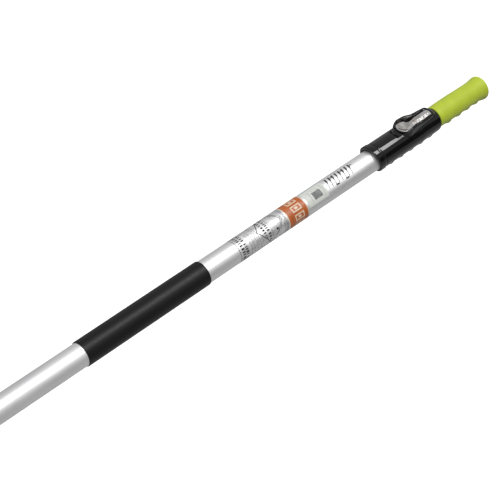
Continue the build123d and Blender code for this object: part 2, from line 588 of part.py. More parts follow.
def make_head_bolt(x, z):
    """Carriage bolt across the head, its wing nut on the -Y side."""
    shank = y_rod(x, z, HEAD_BOLT_END_Y, HOOK_Y1, HEAD_BOLT_RADIUS)
    shank = chamfer(shank.edges().filter_by(GeomType.CIRCLE).sort_by(Axis.Y)[0], 0.8)
    return shank + hex_block(x, z, HOOK_Y1, HOOK_Y1 + HEAD_BOLT_HEAD_HEIGHT, HEAD_BOLT_HEAD)


def make_head_washer(x, z):
    disc = y_rod(x, z, WASHER_Y, WASHER_Y + WASHER_THICK, WASHER_RADIUS)
    return disc - y_rod(x, z, WASHER_Y - 1, WASHER_Y + WASHER_THICK + 1, HEAD_BOLT_RADIUS + SEAT_GAP)


def make_wing_nut(x, z):
    hub = y_rod(x, z, WING_Y - WING_HUB_LENGTH, WING_Y, WING_HUB_RADIUS)
    hub = chamfer(hub.edges().filter_by(GeomType.CIRCLE).sort_by(Axis.Y)[0], 1.2)
    wing_y0 = WING_Y - WING_HUB_LENGTH - WING_HEIGHT / 2
    wing = Pos(x, wing_y0, z) * Box(2 * WING_SPAN, WING_HEIGHT + WING_HUB_LENGTH, WING_THICK)
    middle = Pos(x, wing_y0 - WING_HUB_LENGTH / 2, z)
    wing -= middle * Box(2 * HEAD_BOLT_RADIUS + 5, WING_HEIGHT + 6, WING_THICK + 1)
    wing &= box(x - WING_SPAN, x + WING_SPAN, WING_Y - WING_HUB_LENGTH - WING_HEIGHT,
                WING_Y - 2.0, z - WING_THICK, z + WING_THICK)
    wing = fillet(wing.edges().filter_by(Axis.Z), WING_ROUND)
    hole = y_rod(x, z, WING_Y - 60, WING_Y + 1, HEAD_BOLT_RADIUS + RUN_GAP)
    return hub + wing - hole


def make_limb_hook():
    """Flat steel hook on the +Y face of the tongue, open towards the handle."""
    centre = Pos(HOOK_CENTRE_X, HOOK_CENTRE_Z)
    outer = HOOK_INNER_RADIUS + HOOK_WIDTH
    ring = centre * (Circle(outer) - Circle(HOOK_INNER_RADIUS))
    far = 3 * outer
    gap = centre * make_face(Polyline((0, 0), (far, far * 0.75), (far, -far * 0.75),
                                      (0, -far * 0.75), close=True))
    nose = centre * Rot(0, 0, math.degrees(math.atan(0.75))) * Pos(HOOK_INNER_RADIUS
                                                                    + HOOK_WIDTH / 2, 0)
    horn = ring - gap + nose * Circle(HOOK_WIDTH / 2)
    foot = make_hull((Pos(HEAD_PIVOT_X, 0) * Circle(TONGUE_HALF - 4)
                      + Pos(STUD_X, STUD_Z) * Circle(WASHER_RADIUS + 1)
                      + Pos(HOOK_CENTRE_X - 8, HOOK_CENTRE_Z - HOOK_INNER_RADIUS - HOOK_WIDTH / 2)
                      * Circle(HOOK_WIDTH / 2)).edges())
    shape = side_plate(horn + foot, TONGUE_Y1, HOOK_Y1)
    for x, z in ((HEAD_PIVOT_X, 0), (STUD_X, STUD_Z)):
        shape -= y_rod(x, z, TONGUE_Y1 - 1, HOOK_Y1 + 1, HEAD_BOLT_RADIUS + SEAT_GAP)
    return shape


def blade_point(angle, drop):
    """A point on the tooth line at an angle along it, lowered by drop."""
    radius = BLADE_CURVE_RADIUS - drop
    centre_z = BLADE_TOOTH_Z - BLADE_CURVE_RADIUS
    return (BLADE_CURVE_X - radius * math.sin(angle), centre_z + radius * math.cos(angle))


def tang_outline(extra=0.0):
    """The fan behind the pivot that holds the curved slot."""
    reach = BLADE_TANG_REACH + extra
    half = math.radians(BLADE_TANG_HALF_DEG)
    rear = Pos(HEAD_PIVOT_X, 0) * Circle(reach)
    far = 2 * reach
    wedge = Pos(HEAD_PIVOT_X, 0) * make_face(Polyline(
        (-0.01, 0), (far * math.cos(half), -far * math.sin(half)),
        (far * math.cos(half), far * math.sin(half)), close=True))
    return (rear & wedge) + Pos(HEAD_PIVOT_X, 0) * Circle(TONGUE_HALF + extra)


def make_saw_blade():
    step = TOOTH_PITCH / BLADE_CURVE_RADIUS
    points = []
    for i in range(TOOTH_COUNT):
        points.append(blade_point(i * step, 0))
        points.append(blade_point((i + TOOTH_LEAN) * step, TOOTH_DEPTH))
    end_angle = TOOTH_COUNT * step
    points.append(blade_point(end_angle, 0))
    tip = blade_point(end_angle + 1.2 * step, -BLADE_TIP_HEIGHT * 0.4)
    back_tip = blade_point(end_angle - 0.5 * step, -BLADE_TIP_HEIGHT)
    middle_drop = -(BLADE_TIP_HEIGHT + TONGUE_HALF - BLADE_TOOTH_Z) / 2
    back = ThreePointArc(back_tip, blade_point(end_angle / 2, middle_drop),
                         (HEAD_PIVOT_X - 10, TONGUE_HALF))
    lower = Polyline((HEAD_PIVOT_X - 10, TONGUE_HALF), (HEAD_PIVOT_X, 0),
                     (HEAD_PIVOT_X - 6, -TONGUE_HALF + 1), points[0])
    teeth = Polyline(*points, tip, back_tip)
    outline = make_face(back + lower + teeth) + tang_outline()
    shape = side_plate(outline, -BLADE_THICK / 2, BLADE_THICK / 2)
    shape -= arc_slot(-BLADE_THICK, BLADE_THICK)
    for x, z in blade_rivet_places():
        shape -= y_rod(x, z, -BLADE_THICK, BLADE_THICK, RIVET_RADIUS + SEAT_GAP)
    return shape - y_rod(HEAD_PIVOT_X, 0, -5, 5, HEAD_BOLT_RADIUS + RUN_GAP)


def blade_rivet_places():
    return [(HEAD_PIVOT_X - PLATE_REACH + 8, z) for z in (-7.0, 7.0)]


def make_blade_plate():
    """Stiffening plate on the -Y side of the blade, with the same curved slot."""
    nose = make_hull((Pos(HEAD_PIVOT_X, 0) * Circle(TONGUE_HALF - 2)
                      + Pos(HEAD_PIVOT_X - PLATE_REACH + 8, 0) * Circle(TONGUE_HALF - 6)).edges())
    shape = side_plate(tang_outline(-2.0) + nose, PLATE_Y, -BLADE_THICK / 2)
    shape -= arc_slot(PLATE_Y - 1, 0)
    for x, z in blade_rivet_places():
        shape -= y_rod(x, z, PLATE_Y - 1, 0, RIVET_RADIUS + SEAT_GAP)
    return shape - y_rod(HEAD_PIVOT_X, 0, PLATE_Y - 1, 0, HEAD_BOLT_RADIUS + RUN_GAP)


def make_blade_rivet(x, z):
    shank = y_rod(x, z, PLATE_Y, BLADE_THICK / 2, RIVET_RADIUS)
    head = y_rod(x, z, PLATE_Y - 1.2, PLATE_Y, RIVET_RADIUS + 1.4)
    return shank + fillet(head.edges().filter_by(GeomType.CIRCLE).sort_by(Axis.Y)[0], 0.8)


def all_nodes():
    nodes = {
        "outer_tube": make_outer_tube(),
        "fore_grip_sleeve": make_fore_grip_sleeve(),
        "wrap_label": make_wrap_label(),
        "code_label": make_code_label(),
        "lock_collar": make_lock_collar(),
        "mouth_ring": make_mouth_ring(),
        "guide_bush": make_guide_bush(),
        "lever_pin": make_lever_pin(),
        "lock_lever": make_lock_lever(),
        "brake_shoe": make_brake_shoe(),
        "brake_pad": make_brake_pad(),
        "inner_tube": make_inner_tube(),
        "front_bush": make_front_bush(),
        "bush_rivet": make_bush_rivet(),
        "handle_grip": make_handle_grip(),
        "butt_plug": make_butt_plug(),
        "head_socket": make_head_socket(),
        "limb_hook": make_limb_hook(),
        "saw_blade": make_saw_blade(),
        "blade_plate": make_blade_plate(),
    }
    for name, x in zip(("front", "rear"), COLLAR_SCREW_XS):
        nodes[f"collar_screw_{name}"] = make_collar_screw(x)
    for name, x in zip(("front", "rear"), SOCKET_BOLT_XS):
        nodes[f"socket_bolt_{name}"] = make_socket_bolt(x)
        nodes[f"socket_nut_{name}"] = make_socket_nut(x)
    for name, (x, z) in {"pivot": (HEAD_PIVOT_X, 0), "lock": (STUD_X, STUD_Z)}.items():
        nodes[f"{name}_bolt"] = make_head_bolt(x, z)
        nodes[f"{name}_washer"] = make_head_washer(x, z)
        nodes[f"{name}_wing_nut"] = make_wing_nut(x, z)
    for name, (x, z) in zip(("lower", "upper"), blade_rivet_places()):
        nodes[f"blade_rivet_{name}"] = make_blade_rivet(x, z)
    return nodes


os.makedirs("parts", exist_ok=True)
for node, shape in all_nodes().items():
    export_step(shape, f"parts/{node}.step")
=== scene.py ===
"""The looks of a telescoping pole saw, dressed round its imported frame.

The pole lies along X, with the butt grip at +X, the saw at -X and the lever on top at +Z.
Sizes in the classes are millimetres; every mesh is made in metres.
"""
import json
import logging
import math
import random
from dataclasses import dataclass, field
from enum import Enum
from typing import Callable, Dict, List, Optional, Sequence, Tuple

import bmesh
import bpy
from mathutils import Matrix, Vector, noise

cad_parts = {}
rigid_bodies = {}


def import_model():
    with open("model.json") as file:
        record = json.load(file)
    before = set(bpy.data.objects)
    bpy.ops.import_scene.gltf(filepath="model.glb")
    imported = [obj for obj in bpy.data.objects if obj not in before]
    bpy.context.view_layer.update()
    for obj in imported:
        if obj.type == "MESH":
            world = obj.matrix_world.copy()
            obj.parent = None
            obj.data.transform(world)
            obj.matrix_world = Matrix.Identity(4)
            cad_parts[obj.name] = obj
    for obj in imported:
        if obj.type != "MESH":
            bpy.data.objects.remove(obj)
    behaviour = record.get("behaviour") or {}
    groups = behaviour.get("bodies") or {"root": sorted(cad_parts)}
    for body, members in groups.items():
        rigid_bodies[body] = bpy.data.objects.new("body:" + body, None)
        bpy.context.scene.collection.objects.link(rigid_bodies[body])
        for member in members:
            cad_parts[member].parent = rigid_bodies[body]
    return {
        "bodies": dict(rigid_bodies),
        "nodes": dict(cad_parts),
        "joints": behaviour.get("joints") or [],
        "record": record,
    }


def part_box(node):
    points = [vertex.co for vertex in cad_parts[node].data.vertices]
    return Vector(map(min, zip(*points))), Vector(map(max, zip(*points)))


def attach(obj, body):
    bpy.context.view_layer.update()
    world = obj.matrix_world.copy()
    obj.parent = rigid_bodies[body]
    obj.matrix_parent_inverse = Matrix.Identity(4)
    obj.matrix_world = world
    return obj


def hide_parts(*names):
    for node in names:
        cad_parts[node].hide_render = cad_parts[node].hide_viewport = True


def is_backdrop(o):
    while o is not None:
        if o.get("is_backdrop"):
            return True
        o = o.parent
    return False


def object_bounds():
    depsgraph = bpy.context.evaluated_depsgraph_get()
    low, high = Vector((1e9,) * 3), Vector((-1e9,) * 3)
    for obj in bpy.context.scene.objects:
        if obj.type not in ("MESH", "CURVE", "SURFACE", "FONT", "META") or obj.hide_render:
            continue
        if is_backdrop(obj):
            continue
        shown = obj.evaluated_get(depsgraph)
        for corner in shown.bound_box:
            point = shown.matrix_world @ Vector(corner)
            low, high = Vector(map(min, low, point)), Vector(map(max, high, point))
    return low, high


LOG = logging.getLogger("pole_saw")
MM = 0.001
SHARP_DEG = 35.0        # edges turned by more than this stay crisp

Triple = Tuple[float, float, float]
Pair = Tuple[float, float]
Swell = Callable[[float, float], float]
Ring = Tuple[float, float, float]


# ---- finishes ----
class Bench:
    """The node bench that one material is put together on."""

    def __init__(self, name: str) -> None:
        """Starts an empty material.

        Args:
            name: The material's name.
        """
        self.material = bpy.data.materials.new(name)
        self.material.use_nodes = True
        self.tree = self.material.node_tree
        self.shader = self.tree.nodes["Principled BSDF"]
        self.place = self.add("ShaderNodeTexCoord").outputs["Object"]

    def add(self, kind: str, inputs: Optional[dict] = None, **settings: object) -> bpy.types.Node:
        """Adds a node.

        Args:
            kind: The node's type.
            inputs: Its inputs by title, each a socket to link or a value to set.
            **settings: Properties of the node.

        Returns:
            The new node.
        """
        node = self.tree.nodes.new(kind)
        for title, value in settings.items():
            setattr(node, title, value)
        for title, value in (inputs or {}).items():
            if isinstance(value, bpy.types.NodeSocket):
                self.tree.links.new(value, node.inputs[title])
            else:
                node.inputs[title].default_value = value
        return node

    def cloud(self, scale: float, stretch: Triple = (1, 1, 1),
              detail: float = 3.0) -> bpy.types.NodeSocket:
        """A cloudy grey texture fixed to the piece.

        Args:
            scale: Features per metre.
            stretch: Scale along each axis; a small number draws the texture out.
            detail: Octaves of the texture.

        Returns:
            The socket with the grey value.
        """
        placed = self.add("ShaderNodeMapping", {"Vector": self.place, "Scale": stretch})
        return self.add("ShaderNodeTexNoise", {
            "Vector": placed.outputs["Vector"], "Scale": scale, "Detail": detail}).outputs["Fac"]

    def spread(self, value: bpy.types.NodeSocket, start: Pair, end: Pair) -> bpy.types.NodeSocket:
        """Maps one range of a value onto another, clamped.

        Args:
            value: The value to map.
            start: The range it has.
            end: The range it gets.

        Returns:
            The mapped value.
        """
        node = self.add("ShaderNodeMapRange", {
            "Value": value, "From Min": start[0], "From Max": start[1],
            "To Min": end[0], "To Max": end[1]})
        return node.outputs["Result"]

    def mix(self, share: bpy.types.NodeSocket, first: object,
            second: object) -> bpy.types.NodeSocket:
        """Mixes two colours by a grey value.

        Args:
            share: How much of the second colour shows.
            first: A colour or a socket.
            second: A colour or a socket.

        Returns:
            The mixed colour.
        """
        node = self.tree.nodes.new("ShaderNodeMix")
        node.data_type = "RGBA"
        self.tree.links.new(share, node.inputs[0])
        for index, colour in ((6, first), (7, second)):
            if isinstance(colour, bpy.types.NodeSocket):
                self.tree.links.new(colour, node.inputs[index])
            else:
                node.inputs[index].default_value = (*colour, 1.0)
        return node.outputs[2]

    def bump(self, height: bpy.types.NodeSocket, depth: float,
             under: Optional[bpy.types.NodeSocket]) -> bpy.types.NodeSocket:
        """Adds a layer of relief to the normal.

        Args:
            height: The relief's grey value.
            depth: Its depth in millimetres.
            under: The normal of the layer below, if there is one.

        Returns:
            The normal with this layer on it.
        """
        inputs = {"Height": height, "Distance": depth * MM, "Strength": 1.0}
        if under is not None:
            inputs["Normal"] = under
        return self.add("ShaderNodeBump", inputs).outputs["Normal"]

    def set(self, **constants: float) -> None:
        """Sets numbers that are the same all over, on the shader's own sockets.

        Args:
            **constants: Socket titles, with spaces as underscores, and their values.
        """
        for title, value in constants.items():
            self.shader.inputs[title.replace("_", " ")].default_value = value

    def link(self, value: bpy.types.NodeSocket, title: str) -> None:
        """Feeds a shader socket."""
        self.tree.links.new(value, self.shader.inputs[title])


@dataclass(frozen=True)
class Relief:
    """One layer of fine relief on a surface.

    Args:
        scale: Features per metre.
        depth: Depth in millimetres.
        stretch: Scale along each axis.
        detail: Octaves of the texture.
    """

    scale: float
    depth: float
    stretch: Triple = (1.0, 1.0, 1.0)
    detail: float = 3.0


@dataclass(frozen=True)
class Finish:
    """A surface finish: colour, gloss and fine relief.

    Args:
        name: The material's name.
        slot: The record's material slot that it belongs to; not used.
        base: The main colour.
        shade: The colour that it drifts to in blotches.
        rough: Roughness where the surface is smoothest and dullest.
        metallic: 0 or 1.
        blotch: The texture of the blotches.
        scuff: The texture of the dull places.
        reliefs: Layers of fine relief, coarsest first.
        coat: Weight of a clear coat.
        coat_rough: Its roughness.
        sheen: Weight of a soft sheen.
        specular: Specular level.
        worn: The colour of worn edges, if they wear.
        worn_from: Edge sharpness at which the wear starts and is full.
    """

    name: str
    slot: str
    base: Triple
    shade: Triple
    rough: Pair
    metallic: float = 0.0
    blotch: Relief = Relief(40.0, 0.0)
    scuff: Relief = Relief(300.0, 0.0, detail=5.0)
    reliefs: Tuple[Relief, ...] = ()
    coat: float = 0.0
    coat_rough: float = 0.05
    sheen: float = 0.0
    specular: float = 0.5
    worn: Optional[Triple] = None
    worn_from: Pair = (0.54, 0.62)

    def material(self) -> bpy.types.Material:
        """The Blender material, made once.

        Returns:
            The material.
        """
        title = f"{self.name}_finish"
        made = bpy.data.materials.get(title)
        if made:
            return made
        bench = Bench(title)
        cloud = bench.cloud(self.blotch.scale, self.blotch.stretch, self.blotch.detail)
        colour = bench.mix(bench.spread(cloud, (0.35, 0.65), (0.0, 1.0)), self.base, self.shade)
        dull = bench.cloud(self.scuff.scale, self.scuff.stretch, self.scuff.detail)
        rough = bench.spread(dull, (0.3, 0.7), self.rough)
        if self.worn:
            point = bench.add("ShaderNodeNewGeometry").outputs["Pointiness"]
            edge = bench.spread(point, self.worn_from, (0.0, 1.0))
            fray = bench.add("ShaderNodeMath", operation="MULTIPLY")
            bench.tree.links.new(edge, fray.inputs[0])
            bench.tree.links.new(bench.spread(dull, (0.4, 0.6), (0.0, 0.9)), fray.inputs[1])
            colour = bench.mix(fray.outputs[0], colour, self.worn)
        colour, rough = self.dress(bench, colour, rough)
        bench.link(colour, "Base Color")
        bench.link(rough, "Roughness")
        normal = None
        for layer in self.reliefs:
            height = bench.cloud(layer.scale, layer.stretch, layer.detail)
            normal = bench.bump(height, layer.depth, normal)
        if normal is not None:
            bench.link(normal, "Normal")
        bench.set(Metallic=self.metallic, Coat_Weight=self.coat, Coat_Roughness=self.coat_rough,
                  Sheen_Weight=self.sheen, Specular_IOR_Level=self.specular)
        return bench.material

    def dress(self, bench: Bench, colour: bpy.types.NodeSocket,
              rough: bpy.types.NodeSocket) -> Tuple[bpy.types.NodeSocket, bpy.types.NodeSocket]:
        """Adds what only one finish has; the plain finish adds nothing.

        Args:
            bench: The bench that the material is on.
            colour: The colour so far.
            rough: The roughness so far.

        Returns:
            The colour and the roughness to use.
        """
        return colour, rough

    def cover(self, piece: bpy.types.Object) -> None:
        """Puts the finish on a piece or a CAD node, as its only material."""
        piece.data.materials.clear()
        piece.data.materials.append(self.material())


@dataclass(frozen=True)
class GroundBlade(Finish):
    """Blade steel, brushed along the blade, with a darker band hardened along the teeth.

    Args:
        centre: Centre (x, z) of the tooth line's arc, in metres.
        radius: Radius of the tooth line, in metres.
        band: How far the hardening reaches in from the teeth, in metres.
        full: The share of the band at which it is at its darkest.
        tint: The colour of the hardened band.
    """

    centre: Pair = (0.0, 0.0)
    radius: float = 1.0
    band: float = 0.01
    full: float = 0.55
    tint: Triple = (0.2, 0.18, 0.2)

    def dress(self, bench: Bench, colour: bpy.types.NodeSocket,
              rough: bpy.types.NodeSocket) -> Tuple[bpy.types.NodeSocket, bpy.types.NodeSocket]:
        """Darkens the steel by its distance from the tooth line.

        Args:
            bench: The bench that the material is on.
            colour: The colour so far.
            rough: The roughness so far.

        Returns:
            The colour with the band, and the roughness.
        """
        flat = bench.add("ShaderNodeVectorMath", {0: bench.place, 1: (1.0, 0.0, 1.0)},
                         operation="MULTIPLY")
        middle = (self.centre[0], 0.0, self.centre[1])
        apart = bench.add("ShaderNodeVectorMath", {0: flat.outputs[0], 1: middle},
                          operation="DISTANCE")
        wave = bench.spread(bench.cloud(120.0), (0.3, 0.7), (-0.0012, 0.0012))
        edge = bench.add("ShaderNodeMath", {0: apart.outputs["Value"], 1: wave}, operation="ADD")
        fade = (self.radius + self.band, self.radius + self.band * self.full)
        near = bench.spread(edge.outputs[0], fade, (0.0, 1.0))
        return bench.mix(near, colour, self.tint), rough


ALONG = (0.02, 1.0, 1.0)       # draws a texture out along the pole

ALUMINIUM = Finish(
    "satin_aluminium", "satin_aluminium", (0.80, 0.80, 0.805), (0.75, 0.752, 0.76), (0.50, 0.60),
    metallic=1.0, blotch=Relief(60.0, 0.0, (0.25, 1.0, 1.0)), scuff=Relief(900.0, 0.0, ALONG),
    reliefs=(Relief(2600.0, 0.005, ALONG, 2.0), Relief(5000.0, 0.003)))
FILM = Finish(
    "printed_film", "printed_film", (0.78, 0.78, 0.785), (0.56, 0.56, 0.565), (0.52, 0.62),
    metallic=1.0, blotch=Relief(210.0, 0.0, (0.6, 1.0, 1.0)), scuff=Relief(500.0, 0.0),
    reliefs=(Relief(300.0, 0.006, (0.5, 1.0, 1.0)),))
MATT_GRAIN = (Relief(4000.0, 0.003),)
SATIN_GRAIN = (Relief(3000.0, 0.003),)
INK = Finish(
    "dark_ink", "printed_film", (0.008, 0.008, 0.009), (0.022, 0.022, 0.024), (0.65, 0.8),
    blotch=Relief(1200.0, 0.0), reliefs=MATT_GRAIN, specular=0.2)
PALE_INK = Finish(
    "grey_ink", "printed_film", (0.10, 0.10, 0.105), (0.16, 0.16, 0.165), (0.6, 0.75),
    blotch=Relief(1500.0, 0.0), reliefs=MATT_GRAIN, specular=0.2)
MID_INK = Finish(
    "mid_grey_ink", "code_sticker", (0.20, 0.20, 0.20), (0.25, 0.25, 0.25), (0.6, 0.75),
    blotch=Relief(1500.0, 0.0), reliefs=MATT_GRAIN, specular=0.2)
CREAM_INK = Finish(
    "cream_ink", "printed_film", (0.66, 0.53, 0.40), (0.56, 0.43, 0.31), (0.4, 0.55),
    blotch=Relief(500.0, 0.0), reliefs=SATIN_GRAIN, coat=0.15, coat_rough=0.35)
ORANGE_INK = Finish(
    "orange_ink", "printed_film", (0.42, 0.105, 0.016), (0.34, 0.075, 0.011), (0.4, 0.5),
    blotch=Relief(260.0, 0.0), reliefs=SATIN_GRAIN, coat=0.15, coat_rough=0.35)
STICKER = Finish(
    "sticker_paper", "code_sticker", (0.55, 0.57, 0.53), (0.50, 0.52, 0.48), (0.45, 0.6),
    blotch=Relief(180.0, 0.0), reliefs=(Relief(1800.0, 0.008, detail=5.0),), specular=0.3)
SLEEVE = Finish(
    "black_sleeve", "black_sleeve", (0.0028, 0.0028, 0.0036), (0.0045, 0.0045, 0.005), (0.40, 0.50),
    blotch=Relief(55.0, 0.0, (0.2, 1.0, 1.0)), scuff=Relief(700.0, 0.0, (0.3, 1.0, 1.0)),
    reliefs=(Relief(120.0, 0.04, (0.35, 1.0, 1.0)), Relief(1500.0, 0.008), Relief(5200.0, 0.003)),
    specular=0.25)
GLOSS_BLACK = Finish(
    "gloss_black", "black_gloss", (0.0012, 0.0012, 0.0016), (0.002, 0.002, 0.0024), (0.035, 0.08),
    blotch=Relief(120.0, 0.0), scuff=Relief(260.0, 0.0, detail=6.0),
    reliefs=(Relief(110.0, 0.008), Relief(2400.0, 0.0008)), specular=0.45)
SOFT_BLACK = Finish(
    "soft_black", "black_soft", (0.012, 0.012, 0.012), (0.02, 0.02, 0.02), (0.6, 0.8),
    reliefs=(Relief(3000.0, 0.02),))
NYLON = Finish(
    "grey_nylon", "grey_nylon", (0.30, 0.30, 0.31), (0.25, 0.25, 0.26), (0.42, 0.55),
    reliefs=(Relief(2500.0, 0.012),))
ZINC = Finish(
    "zinc_steel", "zinc_steel", (0.60, 0.61, 0.62), (0.50, 0.51, 0.54), (0.22, 0.4), metallic=1.0,
    blotch=Relief(350.0, 0.0), scuff=Relief(800.0, 0.0), reliefs=(Relief(2200.0, 0.006),),
    worn=(0.74, 0.74, 0.74))
# Polished lever: the brownish shade colour of its blotches is a painted reflection of a darker
# surround, laid in random patches over the chrome's own colour.
POLISHED_PAINTED_REFLECTION = Finish(
    "polished_lever", "polished_lever", (0.78, 0.77, 0.76), (0.50, 0.465, 0.44), (0.06, 0.16),
    metallic=1.0, blotch=Relief(110.0, 0.0), scuff=Relief(500.0, 0.0, detail=6.0),
    reliefs=(Relief(150.0, 0.05), Relief(1600.0, 0.0015)))
LIME = Finish(
    "lime_rubber", "lime_rubber", (0.365, 0.45, 0.027), (0.335, 0.415, 0.023), (0.46, 0.6),
    blotch=Relief(70.0, 0.0), scuff=Relief(420.0, 0.0),
    reliefs=(Relief(260.0, 0.03), Relief(3200.0, 0.02)), sheen=0.08, specular=0.3)
CASTING = Finish(
    "black_casting", "black_casting", (0.016, 0.016, 0.017), (0.024, 0.024, 0.026), (0.35, 0.5),
    blotch=Relief(150.0, 0.0), reliefs=(Relief(1300.0, 0.05, detail=2.0), Relief(3600.0, 0.015)),
    worn=(0.16, 0.16, 0.165))


# ---- mesh making ----
def mesh_piece(name: str, work: bmesh.types.BMesh) -> bpy.types.Object:
    """Turns a bmesh into a piece, smooth except at sharp edges.

    Args:
        name: The piece's name.
        work: The finished bmesh; it is freed.

    Returns:
        The new object.
    """
    bmesh.ops.recalc_face_normals(work, faces=work.faces[:])
    mesh = bpy.data.meshes.new(name)
    work.to_mesh(mesh)
    work.free()
    mesh.shade_smooth()
    mesh.set_sharp_from_angle(angle=math.radians(SHARP_DEG))
    piece = bpy.data.objects.new(name, mesh)
    bpy.context.scene.collection.objects.link(piece)
    return piece


def spun(name: str, loop: Sequence[Ring], swell: Optional[Swell] = None,
         turns: int = 144) -> bpy.types.Object:
    """A closed solid spun about the pole's axis, with a skin that may swell unevenly.

    Args:
        name: The piece's name.
        loop: The section's closed outline as (x, radius, share), in mm; share is how much of
            the swell a point takes.
        swell: Gives what to add to the radius at (x, angle), in mm.
        turns: Steps round the axis.

    Returns:
        The new object.
    """
    work = bmesh.new()
    rings: List[List[bmesh.types.BMVert]] = []
    for k in range(turns):
        angle = 2 * math.pi * k / turns
        ring = []
        for x, radius, share in loop:
            if swell and share:
                radius += share * swell(x, angle)
            ring.append(work.verts.new((x * MM, radius * math.cos(angle) * MM,
                                        radius * math.sin(angle) * MM)))
        rings.append(ring)
    count = len(loop)
    for k, ring in enumerate(rings):
        after = rings[(k + 1) % turns]
        for j in range(count):
            nxt = (j + 1) % count
            work.faces.new((ring[j], ring[nxt], after[nxt], after[j]))
    bmesh.ops.remove_doubles(work, verts=work.verts[:], dist=1e-7)
    return mesh_piece(name, work)


def applied(piece: bpy.types.Object) -> bpy.types.Object:
    """Bakes a piece's modifiers into its mesh.

    Args:
        piece: The piece.

    Returns:
        The same piece.
    """
    graph = bpy.context.evaluated_depsgraph_get()
    mesh = bpy.data.meshes.new_from_object(piece.evaluated_get(graph))
    piece.modifiers.clear()
    piece.data = mesh
    return piece


def copy_of(node: bpy.types.Object, name: str) -> bpy.types.Object:
    """A free copy of a CAD node, with a clean welded mesh.

    Args:
        node: The CAD node's object.
        name: The copy's name.

    Returns:
        The new object.
    """
    work = bmesh.new()
    work.from_mesh(node.data)
    bmesh.ops.remove_doubles(work, verts=work.verts[:], dist=2e-6)
    return mesh_piece(name, work)


def moulded(node: bpy.types.Object, name: str, voxel: float, passes: int,
            keep: float = 1.0) -> bpy.types.Object:
    """A copy of a CAD node with softly rounded edges, as a moulded or cast piece has.

    Args:
        node: The CAD node's object.
        name: The copy's name.
        voxel: Remesh size in mm.
        passes: Rounds of smoothing.
        keep: Share of the faces that stay.

    Returns:
        The new object.
    """
    piece = copy_of(node, name)
    remesh = piece.modifiers.new("remesh", "REMESH")
    remesh.mode = "VOXEL"
    remesh.voxel_size = voxel * MM
    relax = piece.modifiers.new("relax", "SMOOTH")
    relax.factor = 0.5
    relax.iterations = passes
    if keep < 1.0:
        thin = piece.modifiers.new("thin", "DECIMATE")
        thin.ratio = keep
    applied(piece)
    piece.data.shade_smooth()
    return piece


def eased(node: bpy.types.Object, name: str, width: float, segments: int = 2) -> bpy.types.Object:
    """A copy of a CAD node with its sharp edges bevelled, as a machined piece has.

    Args:
        node: The CAD node's object.
        name: The copy's name.
        width: Bevel width in mm.
        segments: Steps across the bevel.

    Returns:
        The new object.
    """
    piece = copy_of(node, name)
    work = bmesh.new()
    work.from_mesh(piece.data)
    bmesh.ops.dissolve_limit(work, angle_limit=math.radians(1.0), verts=work.verts[:],
                             edges=work.edges[:])
    work.to_mesh(piece.data)
    work.free()
    bevel = piece.modifiers.new("bevel", "BEVEL")
    bevel.width = width * MM
    bevel.segments = segments
    bevel.limit_method = "ANGLE"
    bevel.angle_limit = math.radians(38.0)
    bevel.harden_normals = True
    applied(piece)
    return piece


def curve_through(points: Sequence[Pair], steps: int) -> List[Pair]:
    """A smooth line through points, by Catmull-Rom.

    Args:
        points: The (x, value) points, in order.
        steps: Samples per span.

    Returns:
        The samples, ending at the last point.
    """
    ends = [points[0], *points, points[-1]]
    line: List[Pair] = []
    for i in range(len(points) - 1):
        p0, p1, p2, p3 = ends[i:i + 4]
        for k in range(steps):
            t = k / steps
            line.append(tuple(
                0.5 * (2 * b + (c - a) * t + (2 * a - 5 * b + 4 * c - d) * t * t
                       + (3 * b - a - 3 * c + d) * t ** 3)
                for a, b, c, d in zip(p0, p1, p2, p3)))
    line.append(tuple(points[-1]))
    return line


